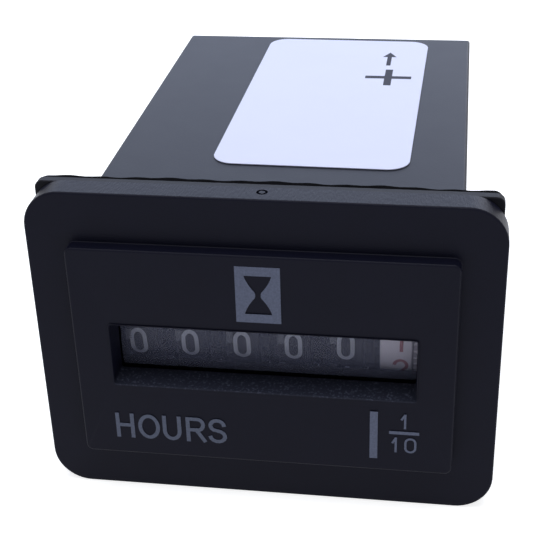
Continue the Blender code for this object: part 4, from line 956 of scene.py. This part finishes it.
def make_prints():
    """Everything printed on the panel, and the polarity sign on the label."""
    panel_print("print_hourglass", hourglass_sign())
    word = bmesh.new()
    for sign, left, right in WORD:
        write(word, sign, (left, right), WORD_Z, WORD_STROKE)
    panel_print("print_hours", word, print_dim)
    panel_print("print_bar", bar(bmesh.new(), *BAR))
    fraction = bar(bmesh.new(), *LINE)
    for sign, left, right, low, high in FRACTION:
        write(fraction, sign, (left, right), (low, high), FRACTION_STROKE)
    panel_print("print_tenth", fraction)
    x, y = PLUS_AT
    low, high = LABEL_Z[1] - INK_ROOT, LABEL_Z[1] + INK / 2
    sign = bmesh.new()
    half, thin = PLUS_SIZE / 2, PLUS_STROKE / 2
    cross = [(half, -thin), (half, thin), (thin, thin), (thin, half), (-thin, half), (-thin, thin)]
    cross += [(-u, -v) for u, v in cross]
    plate(sign, [(x + u, y + v) for u, v in cross], low, high, "Z")
    start, tip = ARROW_Y
    neck = tip - ARROW_HEAD
    side, thin = ARROW_HEAD / 2, ARROW_STROKE / 2
    arrow = [(-thin, start), (thin, start), (thin, neck), (side, neck)]
    arrow += [(0, tip), (-side, neck), (-thin, neck)]
    plate(sign, [(ARROW_X + u, v) for u, v in arrow], low, high, "Z")
    piece("polarity_print", sign, label_ink)


# Stage, light and camera.


def shown_to_eye(nodes, links):
    """1 for camera, glossy and transmission rays, 0 for the rest."""
    path = nodes.new("ShaderNodeLightPath").outputs
    total = path["Is Camera Ray"]
    for ray in ("Is Glossy Ray", "Is Transmission Ray"):
        total = math_node(nodes, links, "MAXIMUM", total, path[ray])
    return total


def make_world():
    """White for the eye, and a soft pale fill for the rest."""
    world = bpy.data.worlds.new("studio")
    bpy.context.scene.world = world
    world.use_nodes = True
    nodes, links = world.node_tree.nodes, world.node_tree.links
    nodes.clear()
    seen = nodes.new("ShaderNodeBackground")
    seen.inputs["Color"].default_value = (1, 1, 1, 1)
    fill = nodes.new("ShaderNodeBackground")
    fill.inputs["Color"].default_value = (*FILL, 1)
    fill.inputs["Strength"].default_value = FILL_STRENGTH
    mix = nodes.new("ShaderNodeMixShader")
    links.new(shown_to_eye(nodes, links), mix.inputs["Fac"])
    links.new(fill.outputs["Background"], mix.inputs[1])
    links.new(seen.outputs["Background"], mix.inputs[2])
    out = nodes.new("ShaderNodeOutputWorld")
    links.new(mix.outputs["Shader"], out.inputs["Surface"])


def make_floor():
    """Pale floor that keeps the object's shadow and looks white."""
    mesh = bpy.data.meshes.new("floor")
    shape = bmesh.new()
    bmesh.ops.create_grid(shape, x_segments=1, y_segments=1, size=FLOOR_HALF)
    shape.to_mesh(mesh)
    shape.free()
    floor = bpy.data.objects.new("floor", mesh)
    bpy.context.scene.collection.objects.link(floor)
    floor.location.z = -FLOOR_DROP
    made = bpy.data.materials.new("floor")
    made.use_nodes = True
    nodes, links = made.node_tree.nodes, made.node_tree.links
    nodes.clear()
    diffuse = nodes.new("ShaderNodeBsdfDiffuse")
    diffuse.inputs["Color"].default_value = (FLOOR_GREY, FLOOR_GREY, FLOOR_GREY, 1)
    mix = nodes.new("ShaderNodeMixShader")
    links.new(shown_to_eye(nodes, links), mix.inputs["Fac"])
    for strength, socket in zip(FLOOR_GLOW, (1, 2)):
        glow = nodes.new("ShaderNodeEmission")
        glow.inputs["Strength"].default_value = strength
        both = nodes.new("ShaderNodeAddShader")
        links.new(diffuse.outputs["BSDF"], both.inputs[0])
        links.new(glow.outputs["Emission"], both.inputs[1])
        links.new(both.outputs["Shader"], mix.inputs[socket])
    out = nodes.new("ShaderNodeOutputMaterial")
    links.new(mix.outputs["Shader"], out.inputs["Surface"])
    mesh.materials.append(made)


def area_light(name, at, target, size, power, colour):
    """Round lamp that looks at its target."""
    lamp = bpy.data.lights.new(name, "AREA")
    lamp.shape = "DISK"
    lamp.size = size
    lamp.energy = power
    lamp.color = colour
    held = bpy.data.objects.new(name, lamp)
    bpy.context.scene.collection.objects.link(held)
    held.location = at
    held.rotation_euler = (Vector(target) - Vector(at)).to_track_quat("-Z", "Y").to_euler()


def make_camera():
    """Camera at the photograph's viewing angle."""
    yaw, pitch, roll = CAMERA_YAW, CAMERA_PITCH, CAMERA_ROLL
    ahead = math.cos(pitch)
    forward = Vector((math.sin(yaw) * ahead, math.cos(yaw) * ahead, -math.sin(pitch)))
    level = Vector((math.cos(yaw), -math.sin(yaw), 0))
    above = level.cross(forward)
    right = math.cos(roll) * level + math.sin(roll) * above
    up = -math.sin(roll) * level + math.cos(roll) * above
    data = bpy.data.cameras.new("camera")
    data.sensor_width = SENSOR
    data.lens = FOCAL / IMAGE * SENSOR
    data.clip_start = 0.005
    data.clip_end = 20
    held = bpy.data.objects.new("camera", data)
    bpy.context.scene.collection.objects.link(held)
    turn = Matrix((right, up, -forward)).transposed()
    held.matrix_world = Matrix.Translation((CAMERA_AT + FRONT) * MM) @ turn.to_4x4()
    bpy.context.scene.camera = held


make_bezel()
make_seal()
make_gasket()
make_housing()
make_label()
make_wheels()
make_prints()
make_world()
make_floor()
for lamp in LAMPS:
    area_light(*lamp)
make_camera()
bpy.context.scene.view_settings.view_transform = "Standard"
